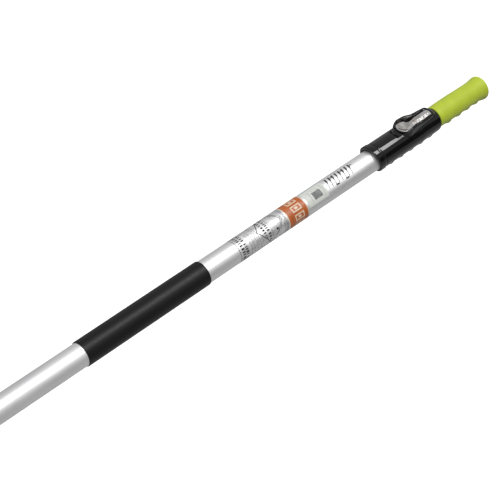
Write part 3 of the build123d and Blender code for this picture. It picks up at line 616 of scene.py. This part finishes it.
# ---- printed artwork ----
@dataclass
class Artwork:
    """Flat shapes in (x, arc) millimetres, wrapped round the tube as a thin print.

    Args:
        radius: Radius that the print lies on, in mm.
        thick: Thickness of the ink, in mm.
        shapes: The shapes, each a list of corners.
    """

    radius: float
    thick: float = 0.03
    shapes: List[List[Pair]] = field(default_factory=list)

    def arc(self, degrees: float) -> float:
        """The arc length from +Y towards +Z that an angle makes."""
        return math.radians(degrees) * self.radius

    def shape(self, corners: Sequence[Pair]) -> None:
        """Adds a shape whose corners are (x, degrees)."""
        self.shapes.append([(x, self.arc(a)) for x, a in corners])

    def bar(self, x0: float, x1: float, a0: float, a1: float) -> None:
        """Adds a block from x0 to x1, between two angles."""
        self.shape([(x0, a0), (x1, a0), (x1, a1), (x0, a1)])

    def line(self, corners: Sequence[Pair], width: float, closed: bool = False) -> None:
        """Adds a line with mitred corners.

        Args:
            corners: The line's (x, degrees) points.
            width: Its width in mm.
            closed: Whether the last point joins the first.
        """
        path = [Vector((x, self.arc(a))) for x, a in corners]
        count = len(path)
        sides: List[Tuple[Vector, Vector]] = []
        for i, point in enumerate(path):
            before = path[i - 1] if i or closed else None
            after = path[(i + 1) % count] if i < count - 1 or closed else None
            ways = [(b - a).normalized() for a, b in ((before, point), (point, after))
                    if a is not None and b is not None]
            along = sum(ways, Vector((0.0, 0.0))).normalized()
            across = Vector((-along.y, along.x))
            reach = width / 2 / max(0.35, across.dot(Vector((-ways[0].y, ways[0].x))))
            sides.append((point + across * reach, point - across * reach))
        for i in range(count if closed else count - 1):
            left0, right0 = sides[i]
            left1, right1 = sides[(i + 1) % count]
            self.shapes.append([tuple(v) for v in (left0, left1, right1, right0)])

    def wrap(self, name: str, step: float = 0.8) -> bpy.types.Object:
        """Wraps the shapes onto the tube as one thin solid each.

        Args:
            name: The piece's name.
            step: Largest arc step in mm.

        Returns:
            The new object.
        """
        work = bmesh.new()
        for corners in self.shapes:
            work.faces.new([work.verts.new((x, s, 0.0)) for x, s in corners])
        low = min(s for corners in self.shapes for _, s in corners)
        high = max(s for corners in self.shapes for _, s in corners)
        for k in range(1, int((high - low) / step) + 1):
            whole = work.verts[:] + work.edges[:] + work.faces[:]
            bmesh.ops.bisect_plane(work, geom=whole, plane_co=(0, low + k * step, 0),
                                   plane_no=(0, 1, 0), dist=1e-5)
        raised = bmesh.ops.extrude_face_region(work, geom=work.faces[:])["geom"]
        for item in raised:
            if isinstance(item, bmesh.types.BMVert):
                item.co.z += self.thick
        for vert in work.verts:
            angle = vert.co.y / self.radius
            radius = self.radius + vert.co.z
            vert.co = Vector((vert.co.x, radius * math.cos(angle), radius * math.sin(angle))) * MM
        return mesh_piece(name, work)


# ---- workshop ----
class Workshop:
    """Holds the frame and hands each finished piece over to it."""

    def __init__(self, frame: Dict[str, object]) -> None:
        """Keeps the frame and the CAD model's own box.
        """
        self.nodes: Dict[str, bpy.types.Object] = frame["nodes"]
        self.cad_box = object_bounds()

    def seat(self, piece: bpy.types.Object, finish: Finish, body: str,
             *stands_for: str) -> bpy.types.Object:
        """Finishes a piece and makes it ride on its body.

        Args:
            piece: The piece, in place.
            finish: Its finish.
            body: The CAD body that it rides on.
            *stands_for: CAD nodes that it is shown in place of.

        Returns:
            The same piece.
        """
        finish.cover(piece)
        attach(piece, body)
        if stands_for:
            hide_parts(*stands_for)
        LOG.info("%s rides on %s with %d faces", piece.name, body, len(piece.data.polygons))
        return piece

    def dress(self, finish: Finish, *names: str) -> None:
        """Gives CAD nodes that stay as they are their finish.

        Args:
            finish: The finish.
            *names: The nodes.
        """
        for name in names:
            finish.cover(self.nodes[name])
            LOG.info("%s is dressed as %s", name, finish.name)


# ---- pole ----
@dataclass
class Pole:
    """The two tubes and the black sleeve of the fore grip.

    Args:
        edge: Rounding of the sleeve's ends.
        ripple: How far the shrunk sleeve wanders from round.
    """

    edge: float = 0.7
    ripple: float = 0.07

    def sleeve_swell(self, x: float, angle: float) -> float:
        """The unevenness of the sleeve at a place, never outwards."""
        spot = Vector((x * 0.035, math.cos(angle) * 1.1, math.sin(angle) * 1.1))
        return self.ripple * (noise.noise(spot) - 1.0) * 0.5

    def sleeve(self) -> bpy.types.Object:
        """Makes the sleeve, with rounded ends and slight ripples.

        Returns:
            The new object.
        """
        low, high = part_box("fore_grip_sleeve")
        x0, x1, outer = low.x / MM, high.x / MM, high.z / MM
        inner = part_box("outer_tube")[1].z / MM
        ends = [(self.edge * (1 - math.cos(a)), self.edge * (1 - math.sin(a)))
                for a in [math.radians(15 * k) for k in range(7)]]
        loop: List[Ring] = [(x0, inner, 0.0)]
        loop += [(x0 + dx, outer - dr, 1.0) for dx, dr in ends]
        steps = 90
        span = x1 - x0 - 2 * self.edge
        loop += [(x0 + self.edge + span * k / steps, outer, 1.0) for k in range(1, steps)]
        loop += [(x1 - dx, outer - dr, 1.0) for dx, dr in reversed(ends)]
        loop.append((x1, inner, 0.0))
        return spun("fore_grip_skin", loop, self.sleeve_swell)

    def build(self, shop: Workshop) -> None:
        """Makes and dresses the pole.

        Args:
            shop: The workshop.
        """
        shop.dress(ALUMINIUM, "outer_tube", "inner_tube")
        shop.dress(NYLON, "guide_bush", "front_bush", "butt_plug", "brake_shoe")
        shop.dress(SOFT_BLACK, "brake_pad", "mouth_ring")
        shop.dress(ZINC, "bush_rivet", "lever_pin")
        shop.seat(self.sleeve(), SLEEVE, "pole", "fore_grip_sleeve")


# ---- labels ----
@dataclass
class Labels:
    """The printed film, the pale sticker and the printed bars, all without words.

    Args:
        seed: Seed of the dash lengths and the grid's cells.
        skin: Radius of the tube.
        film: Radius of the film's face.
        full_turn: First and last angle of what goes all the way round.
        outline: A lozenge's corners, as (x, degrees) from its left corner.
        fine_rows: Where the rows of fine dashes start, from the first row.
        band: Start and stop of the orange band, back from the film's end.
        blocks: How many blocks the band carries, the angle of the first and the step on.
        sticker_arc: First and last angle of the pale sticker.
        corner: Rounding of the sticker's corners.
        bar_pitch: Distance between the slanted bars.
        bar_count: How many there are on each side.
        ring: Where the film's first row of dashes starts, worked out from the film.
    """

    seed: int = 7
    skin: float = 16.0
    film: float = 16.1
    full_turn: Pair = (-20.0, 340.0)
    outline: Tuple[Pair, ...] = (
        (0.0, 0.0), (13.3, -78.0), (31.0, -60.0), (41.5, 0.0), (33.0, 44.0), (17.5, 84.0))
    fine_rows: Tuple[float, ...] = (19.6, 24.2, 29.6, 32.3, 35.0, 79.8, 82.2, 84.4)
    band: Pair = (35.5, 2.3)
    blocks: Tuple[int, float, float] = (8, 28.0, 44.0)
    sticker_arc: Pair = (67.0, 157.0)
    corner: float = 3.2
    bar_pitch: float = 6.3
    bar_count: int = 8
    ring: float = field(default=0.0, init=False)

    def dashes(self, art: Artwork, x0: float, x1: float, rng: random.Random, size: Pair,
               gap: Pair, span: Optional[Pair] = None) -> None:
        """Adds one row of short bars round the tube.

        Args:
            art: The artwork.
            x0: Where the row starts along the pole.
            x1: Where it ends.
            rng: The random source.
            size: Least and most degrees of a bar.
            gap: Least and most degrees between bars.
            span: First and last angle of the row, if it doesn't go all the way round.
        """
        at, stop = span or self.full_turn
        while at < stop:
            long = rng.uniform(*size)
            art.bar(x0, x1, at, at + long)
            at += long + rng.uniform(*gap)

    def lozenge(self, dark: Artwork, pale: Artwork, rng: random.Random, middle: float) -> None:
        """Adds one lozenge with a second line at its right and rows of marks across it.

        Args:
            dark: The dark artwork.
            pale: The grey artwork.
            rng: The random source.
            middle: The angle that it is centred on.
        """
        start = self.ring + 36.3
        dark.line([(start + x, middle + a) for x, a in self.outline], 1.0, closed=True)
        dark.line([(start + x + 2.6, middle + a) for x, a in self.outline[2:5]], 0.8)
        for x, long, half in ((8.6, 3.4, 56), (14.6, 4.2, 66)):
            self.dashes(dark, start + x, start + x + long, rng, (4, 9), (5, 11),
                        (middle - half, middle + half))
        self.dashes(pale, start + 21.0, start + 21.9, rng, (3, 6), (3, 6),
                    (middle - 70, middle + 70))
        for a in (-66.0, 34.0):
            dark.bar(start + 29.0, start + 32.4, middle + a - 5, middle + a + 5)

    def film_art(self, shop: Workshop) -> None:
        """Prints the wrap label: rings, rows of dashes, lozenges and the orange band.

        Args:
            shop: The workshop.
        """
        rng = random.Random(self.seed)
        dark, pale = Artwork(self.film), Artwork(self.film)
        orange, white = Artwork(self.film), Artwork(self.film + 0.02)
        low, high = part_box("wrap_label")
        self.ring, end = low.x / MM + 0.4, high.x / MM
        self.dashes(pale, self.ring, self.ring + 1.2, rng, (4, 9), (3, 6))
        self.dashes(dark, self.ring + 3.9, self.ring + 8.4, rng, (4, 10), (4, 9))
        self.dashes(dark, self.ring + 9.9, self.ring + 14.0, rng, (4, 9), (5, 12))
        for x in self.fine_rows:
            self.dashes(pale, self.ring + x, self.ring + x + 0.6, rng, (6, 16), (2, 5))
        for middle in (115.0, 295.0):
            self.lozenge(dark, pale, rng, middle)
        for back in (40.6, 38.8):
            pale.bar(end - back, end - back + 0.4, *self.full_turn)
        band, stop = end - self.band[0], end - self.band[1]
        orange.bar(band, stop, *self.full_turn)
        for x in (band - 1.3, stop + 0.2):
            white.bar(x, x + 1.1, *self.full_turn)
        count, first, step = self.blocks
        for k in range(count):
            middle = first + step * k
            left, right, low_a, high_a = band + 11.0, band + 25.5, middle - 13, middle + 13
            white.line([(left, low_a), (right, low_a), (right, high_a), (left, high_a)], 1.7,
                       closed=True)
            white.bar(band + 15.6, band + 20.4, middle - 6, middle + 6)
        for name, art, ink in (("film_dark_print", dark, INK), ("film_grey_print", pale, PALE_INK),
                               ("film_orange_band", orange, ORANGE_INK),
                               ("film_white_print", white, CREAM_INK)):
            shop.seat(art.wrap(name), ink, "pole")

    def sticker(self, shop: Workshop) -> None:
        """Makes the pale sticker with rounded corners, a grey square and faint lines.

        Args:
            shop: The workshop.
        """
        low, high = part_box("code_label")
        x0, x1 = low.x / MM, high.x / MM
        (a0, a1), corner = self.sticker_arc, self.corner
        paper = Artwork(self.skin, thick=0.11)
        outline: List[Pair] = []
        turn = math.degrees(corner / self.skin)
        for cx, ca, start in ((x1 - corner, a1 - turn, 0), (x0 + 0.8, a1 - turn / 4, 90),
                              (x0 + 0.8, a0 + turn / 4, 180), (x1 - corner, a0 + turn, 270)):
            round_x = corner if cx > x0 + 2 else 0.8
            round_a = turn if cx > x0 + 2 else turn / 4
            for k in range(7):
                phi = math.radians(start + 15 * k)
                outline.append((cx + round_x * math.cos(phi), ca + round_a * math.sin(phi)))
        paper.shape(outline)
        shop.seat(paper.wrap("code_sticker"), STICKER, "pole", "code_label")
        rng = random.Random(self.seed + 1)
        block, grid, faint = (Artwork(self.skin + 0.11, thick) for thick in (0.01, 0.03, 0.02))
        square_x, square_a, cells, side = x0 + 13.2, 99.0, 10, 1.5
        deg = math.degrees(side * 0.72 / self.skin)
        block.bar(square_x, square_x + cells * side, square_a, square_a + cells * deg)
        for i in range(cells):
            for j in range(cells):
                rim = i in (0, cells - 1) or j in (0, cells - 1)
                if (rim and (i + j) % 2 == 0) or (not rim and rng.random() < 0.5):
                    x, a = square_x + i * side, square_a + j * deg
                    grid.bar(x, x + side, a, a + deg)
        for x, long, span in ((9.0, 0.9, (80, 146)), (11.2, 0.7, (84, 100)), (16.0, 0.8, (78, 94)),
                              (20.5, 0.8, (78, 94)), (25.0, 0.8, (78, 94)), (31.0, 0.8, (80, 144)),
                              (33.4, 0.8, (80, 140))):
            self.dashes(faint, x0 + x, x0 + x + long, rng, (2, 6), (2, 4), span)
        shop.seat(block.wrap("sticker_square"), MID_INK, "pole")
        shop.seat(grid.wrap("sticker_grid"), PALE_INK, "pole")
        shop.seat(faint.wrap("sticker_lines"), MID_INK, "pole")

    def bars(self, shop: Workshop) -> None:
        """Prints a row of plain slanted bars beyond the sticker, on both sides of the tube.

        Args:
            shop: The workshop.
        """
        art = Artwork(self.skin, 0.04)
        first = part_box("code_label")[1].x / MM + 6.0
        for start in (74.0, 254.0):
            for k in range(self.bar_count):
                x = first + self.bar_pitch * k
                # a bold head, a fine stem and every third bar a bold foot
                art.shape([(x + 1.4, start), (x + 4.0, start), (x + 2.6, start + 25),
                           (x + 0.4, start + 23)])
                art.shape([(x + 0.6, start + 23), (x + 1.9, start + 23), (x - 0.6, start + 57),
                           (x - 1.6, start + 57)])
                if k % 3 == 2:
                    art.bar(x - 1.6, x + 4.2, start + 56, start + 63)
                if k % 3 == 1:
                    art.bar(x + 2.6, x + 7.6, start + 9, start + 14)
        shop.seat(art.wrap("pole_bars"), INK, "pole")

    def build(self, shop: Workshop) -> None:
        """Makes and dresses every label.

        Args:
            shop: The workshop.
        """
        low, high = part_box("wrap_label")
        x0, x1 = low.x / MM, high.x / MM
        film = spun("label_film", [(x0, self.skin, 0.0), (x0, self.film, 0.0), (x1, self.film, 0.0),
                                   (x1, self.skin, 0.0)])
        shop.seat(film, FILM, "pole", "wrap_label")
        self.film_art(shop)
        self.sticker(shop)
        self.bars(shop)


# ---- collar and lever ----
@dataclass
class Clamp:
    """The gloss collar, its screws and the polished lever.

    Args:
        voxel: Remesh size of the collar.
        lever_voxel: Remesh size of the lever.
        pad: Centre along the pole and radius of the lever's thumb pad.
        stem_half: Half width of the lever's stem.
        stem_depth: How far below the top the reshaping fades out.
        flank: How far the stem's top falls towards its sides.
        hollow: How much deeper the thumb pad is dished.
    """

    voxel: float = 0.42
    lever_voxel: float = 0.24
    pad: Pair = (478.5, 11.3)
    stem_half: float = 7.0
    stem_depth: float = 4.6
    flank: float = 2.2
    hollow: float = 0.7

    def shape_spoon(self, lever: bpy.types.Object) -> None:
        """Slopes the stem's flanks and hollows the thumb pad of the lever.

        Args:
            lever: The lever's mesh, in place.
        """
        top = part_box("lock_lever")[1].z / MM
        floor = top - self.stem_depth
        pad_x, pad_r = self.pad
        for vert in lever.data.vertices:
            x, y, z = (c / MM for c in vert.co)
            height = min(1.0, max(0.0, (z - floor) / (top - floor)))
            stem = min(1.0, max(0.0, (x - pad_x - 0.7 * pad_r) / 6.0))
            side = max(0.0, abs(y) / self.stem_half - 0.3) / 0.7
            out = math.hypot(x - pad_x, y) / (0.86 * pad_r)
            drop = stem * self.flank * side + (1 - stem) * self.hollow * max(0.0, 1 - out * out)
            vert.co.z -= drop * height * MM

    def build(self, shop: Workshop) -> None:
        """Makes and dresses the clamp.

        Args:
            shop: The workshop.
        """
        collar = moulded(shop.nodes["lock_collar"], "collar_skin", self.voxel, 6, 0.5)
        shop.seat(collar, GLOSS_BLACK, "pole", "lock_collar")
        lever = moulded(shop.nodes["lock_lever"], "lever_spoon", self.lever_voxel, 5)
        self.shape_spoon(lever)
        shop.seat(lever, POLISHED_PAINTED_REFLECTION, "lever", "lock_lever")
        for end in ("front", "rear"):
            node = f"collar_screw_{end}"
            shop.seat(eased(shop.nodes[node], f"{node}_eased", 0.15), ZINC, "pole", node)


# ---- butt grip ----
@dataclass
class ButtGrip:
    """The lime rubber grip on the sliding tube.

    Args:
        stations: The skin's outline as (distance from the front, radius).
        rib_at: Where the finger ribs are, from the front.
        rib_rise: How far they stand out under the grip.
        rib_long: Length of a rib's slope towards the saw.
        rib_short: Length of its slope towards the butt.
        rise: How far the skin's centre lies above the pole's axis.
        thin: How much thinner the rubber is between the ribs.
        bore: Radius of the hole for the tube.
        end_thick: Thickness of the closed end.
        edge_drop: How far the butt's rounded edge comes in.
        dome: How far the end is domed.
        front: Where the grip starts along the pole, worked out from its CAD node.
    """

    stations: Tuple[Pair, ...] = (
        (0.0, 16.4), (8.0, 16.65), (20.0, 16.9), (32.0, 16.98), (48.0, 16.85), (66.0, 16.5),
        (80.0, 16.4), (88.0, 16.7), (94.0, 17.3), (98.0, 17.85), (100.2, 18.05))
    rib_at: Tuple[float, ...] = (21.8, 43.0, 62.6, 80.8)
    rib_rise: float = 1.6
    rib_long: float = 7.5
    rib_short: float = 3.0
    rise: float = 0.7
    thin: float = 1.1
    bore: float = 14.05
    end_thick: float = 7.0
    edge_drop: float = 2.6
    dome: float = 0.4
    front: float = field(default=0.0, init=False)

    def swell(self, x: float, angle: float) -> float:
        """The raised centre, the thinner underside and the finger ribs across it.

        Args:
            x: Place along the pole in mm.
            angle: Angle from +Y towards +Z.

        Returns:
            What to add to the radius, in mm.
        """
        share = min(1.0, max(0.0, -math.sin(angle) / 0.6))
        under = share * share * (3 - 2 * share)
        along = x - self.front
        rib = 0.0
        for at in self.rib_at:
            if at - self.rib_long < along <= at:
                rib = 0.5 - 0.5 * math.cos(math.pi * (along - at + self.rib_long) / self.rib_long)
            elif at < along < at + self.rib_short:
                rib = 0.5 + 0.5 * math.cos(math.pi * (along - at) / self.rib_short)
        flare = min(1.0, max(0.0, (self.stations[-1][0] - 4.0 - along) / 8.0))
        return self.rise * math.sin(angle) + under * (self.rib_rise * rib - self.thin * flare)

    def skin(self) -> bpy.types.Object:
        """Makes the grip's rubber.

        Returns:
            The new object.
        """
        low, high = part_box("handle_grip")
        self.front, rear = low.x / MM, high.x / MM
        line = [(self.front + x, r, 1.0) for x, r in curve_through(self.stations, 12)]
        crest_x, crest_r, _ = line[-1]
        # the butt's rounded edge, a quarter of an ellipse down to a slightly domed end
        long, tall = rear - crest_x - self.dome, self.edge_drop
        for k in range(1, 13):
            phi = math.radians(7.5 * k)
            line.append((crest_x + long * math.sin(phi), crest_r - tall * (1 - math.cos(phi)), 1.0))
        edge_r = line[-1][1]
        for k in range(1, 9):
            r = edge_r * (1 - k / 8)
            line.append((rear - self.dome * (r / edge_r) ** 2, r, r / edge_r))
        inner = rear - self.end_thick
        front_edge = [(self.front + 0.8, self.bore, 0.0), (self.front, self.bore + 0.8, 0.0),
                      (self.front, self.stations[0][1] - 0.9, 1.0),
                      (self.front + 0.25, self.stations[0][1] - 0.25, 1.0)]
        line[0] = (self.front + 0.9, self.stations[0][1], 1.0)
        line = [p for p in line if p[0] >= self.front + 0.9 or p is line[0]]
        loop = [(inner, 0.0, 0.0), (inner, self.bore, 0.0), *front_edge, *line]
        return spun("butt_grip_skin", loop, self.swell, turns=180)

    def build(self, shop: Workshop) -> None:
        """Makes and dresses the grip.

        Args:
            shop: The workshop.
        """
        shop.seat(self.skin(), LIME, "handle", "handle_grip")


# ---- saw head ----
@dataclass
class SawHead:
    """The cast head, its fasteners, the limb hook and the blade.

    Args:
        tooth_line: Centre (x, z) and radius of the tooth line's arc.
        band: Depth of the hardened band.
    """

    tooth_line: Triple = (-622.0, -649.0, 632.0)
    band: float = 8.0

    def build(self, shop: Workshop) -> None:
        """Makes and dresses the head and the blade.

        Args:
            shop: The workshop.
        """
        socket = moulded(shop.nodes["head_socket"], "head_casting", 0.5, 5, 0.5)
        shop.seat(socket, CASTING, "pole", "head_socket")
        hook = moulded(shop.nodes["limb_hook"], "hook_forging", 0.4, 4, 0.6)
        shop.seat(hook, CASTING, "pole", "limb_hook")
        for end in ("front", "rear"):
            for kind in ("bolt", "nut"):
                node = f"socket_{kind}_{end}"
                shop.seat(eased(shop.nodes[node], f"{node}_eased", 0.3), ZINC, "pole", node)
        for end in ("pivot", "lock"):
            for kind in ("bolt", "washer"):
                node = f"{end}_{kind}"
                shop.seat(eased(shop.nodes[node], f"{node}_eased", 0.3), ZINC, "pole", node)
            nut = moulded(shop.nodes[f"{end}_wing_nut"], f"{end}_wing", 0.28, 4)
            shop.seat(nut, ZINC, f"{end}_nut", f"{end}_wing_nut")
        steel = GroundBlade(
            "blade_steel", "blade_steel", (0.56, 0.57, 0.58), (0.48, 0.49, 0.50), (0.2, 0.34),
            metallic=1.0, blotch=Relief(60.0, 0.0, (0.4, 1, 1)), scuff=Relief(900.0, 0.0, ALONG),
            reliefs=(Relief(2600.0, 0.006, ALONG, 2.0),),
            centre=(self.tooth_line[0] * MM, self.tooth_line[1] * MM),
            radius=self.tooth_line[2] * MM, band=self.band * MM)
        blade = eased(shop.nodes["saw_blade"], "blade_ground", 0.18, 1)
        shop.seat(blade, steel, "blade", "saw_blade")
        plate = moulded(shop.nodes["blade_plate"], "blade_plate_pressed", 0.35, 3)
        shop.seat(plate, CASTING, "blade", "blade_plate")
        for end in ("lower", "upper"):
            shop.dress(ZINC, f"blade_rivet_{end}")


# ---- studio ----
class Floor(Enum):
    """The two floor sheets: one that the camera sees, and one that only gives back light."""

    SEEN = "floor"
    BOUNCE = "floor_bounce"


@dataclass
class Studio:
    """The floor, the soft lights and the camera, all in metres.

    Args:
        camera_place: Where the camera stands.
        camera_turn: How it is turned, in degrees.
        lens: Its focal length in mm, on a sensor 36 mm wide.
        floor_z: Height of the floor.
        floor_half: Half the floor's width.
        light_z: Height of the softboxes.
        ambient: Brightness all round.
        key_power: Power of the long softbox over the pole, in watts.
        collar_power: Power of the short softbox that the gloss collar mirrors, in watts.
    """

    camera_place: Triple = (-0.83574, -1.03701, 1.35309)
    camera_turn: Triple = (46.7335, 0.0, -44.491)
    lens: float = 111.475
    floor_z: float = -1.5
    floor_half: float = 30.0
    light_z: float = 1.4655
    ambient: float = 0.52
    key_power: float = 17.8
    collar_power: float = 9.5

    def camera(self) -> None:
        """Stands the camera above the near side, looking along the pole towards its butt."""
        lens = bpy.data.cameras.new("view")
        lens.lens, lens.sensor_width = self.lens, 36.0
        lens.clip_end = 100.0
        view = bpy.data.objects.new("view", lens)
        view.location = self.camera_place
        view.rotation_euler = [math.radians(turn) for turn in self.camera_turn]
        bpy.context.scene.collection.objects.link(view)
        bpy.context.scene.camera = view

    def panel(self, name: str, place: Triple, aim: Triple, size: Pair, power: float,
              up: Triple = (1.0, 0.0, 0.0)) -> None:
        """Hangs a rectangular softbox.

        Args:
            name: The light's name.
            place: Where it hangs, in metres.
            aim: The point it faces.
            size: Its length along up, and its width.
            power: Its power in watts.
            up: The way that its length runs.
        """
        lamp = bpy.data.lights.new(name, "AREA")
        lamp.shape = "RECTANGLE"
        lamp.size, lamp.size_y = size
        lamp.energy = power
        piece = bpy.data.objects.new(name, lamp)
        facing = (Vector(place) - Vector(aim)).normalized()
        along = (Vector(up) - facing * facing.dot(Vector(up))).normalized()
        across = facing.cross(along)
        piece.matrix_world = (Matrix.Translation(Vector(place))
                              @ Matrix((along, across, facing)).transposed().to_4x4())
        bpy.context.scene.collection.objects.link(piece)

    def sheet(self, kind: Floor, shade: Triple, glow: float) -> None:
        """Lays a large floor sheet.

        Args:
            kind: Which of the two sheets it is.
            shade: Its colour.
            glow: How much it lights itself.
        """
        work = bmesh.new()
        bmesh.ops.create_grid(work, x_segments=1, y_segments=1, size=self.floor_half)
        bmesh.ops.translate(work, verts=work.verts[:], vec=(0, 0, self.floor_z))
        floor = mesh_piece(kind.value, work)
        seen = kind is Floor.SEEN
        bench = Bench(kind.value)
        bench.link(bench.mix(bench.cloud(2.0), shade, tuple(c * 0.98 for c in shade)), "Base Color")
        bench.set(Roughness=0.9, Emission_Strength=glow)
        bench.shader.inputs["Emission Color"].default_value = (1, 1, 1, 1)
        floor.data.materials.append(bench.material)
        floor.visible_camera = seen
        for way in ("visible_diffuse", "visible_glossy", "visible_transmission", "visible_shadow"):
            setattr(floor, way, not seen)
        floor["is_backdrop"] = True

    def flag(self, place: Triple, aim: Triple, size: Pair) -> None:
        """Stands a dark card beside the pole, to deepen the reflections in the gloss collar.

        Args:
            place: The card's middle, in metres.
            aim: The point that it faces.
            size: Its width and height.
        """
        facing = (Vector(place) - Vector(aim)).normalized()
        across = Vector((0.0, 0.0, 1.0)).cross(facing).normalized()
        rise = facing.cross(across)
        work = bmesh.new()
        half_x, half_z = across * size[0] / 2, rise * size[1] / 2
        corners = ((-1, -1), (1, -1), (1, 1), (-1, 1))
        work.faces.new([work.verts.new(Vector(place) + half_x * i + half_z * j)
                        for i, j in corners])
        card = mesh_piece("black_card", work)
        bench = Bench("black_card")
        card_greys = (0.10, 0.10, 0.10), (0.12, 0.12, 0.12)
        bench.link(bench.mix(bench.cloud(2.0), *card_greys), "Base Color")
        bench.set(Roughness=0.9, Specular_IOR_Level=0.0)
        card.data.materials.append(bench.material)
        card.visible_camera = card.visible_shadow = False
        card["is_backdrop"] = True

    def build(self) -> None:
        """Sets up the whole studio."""
        self.camera()
        world = bpy.data.worlds.new("room")
        world.use_nodes = True
        back = world.node_tree.nodes["Background"]
        back.inputs["Color"].default_value = (1.0, 1.0, 1.0, 1.0)
        back.inputs["Strength"].default_value = self.ambient
        bpy.context.scene.world = world
        bpy.context.scene.view_settings.view_transform = "Standard"
        self.sheet(Floor.SEEN, (0.8, 0.8, 0.8), 1.0)
        self.sheet(Floor.BOUNCE, (0.7, 0.7, 0.7), 0.0)
        self.panel("key_softbox", (0.525, -0.3225, self.light_z), (0.525, 0.0, 0.0),
                   (1.55, 0.33), self.key_power)
        self.panel("collar_softbox", (1.481, -0.56, self.light_z), (1.481, -0.56, 0.0),
                   (0.35, 0.82), self.collar_power, (0.966, 0.257, 0.0))
        self.flag((1.35, -1.25, 0.12), (0.35, 0.0, 0.0), (1.6, 0.8))


def main() -> None:
    """Builds every sub-assembly in order."""
    logging.basicConfig(level=logging.INFO, format="%(name)s: %(message)s")
    shop = Workshop(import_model())
    for part in (Pole(), Labels(), Clamp(), ButtGrip(), SawHead()):
        LOG.info("building %s", type(part).__name__)
        part.build(shop)
    Studio().build()


if __name__ == "__main__":
    main()
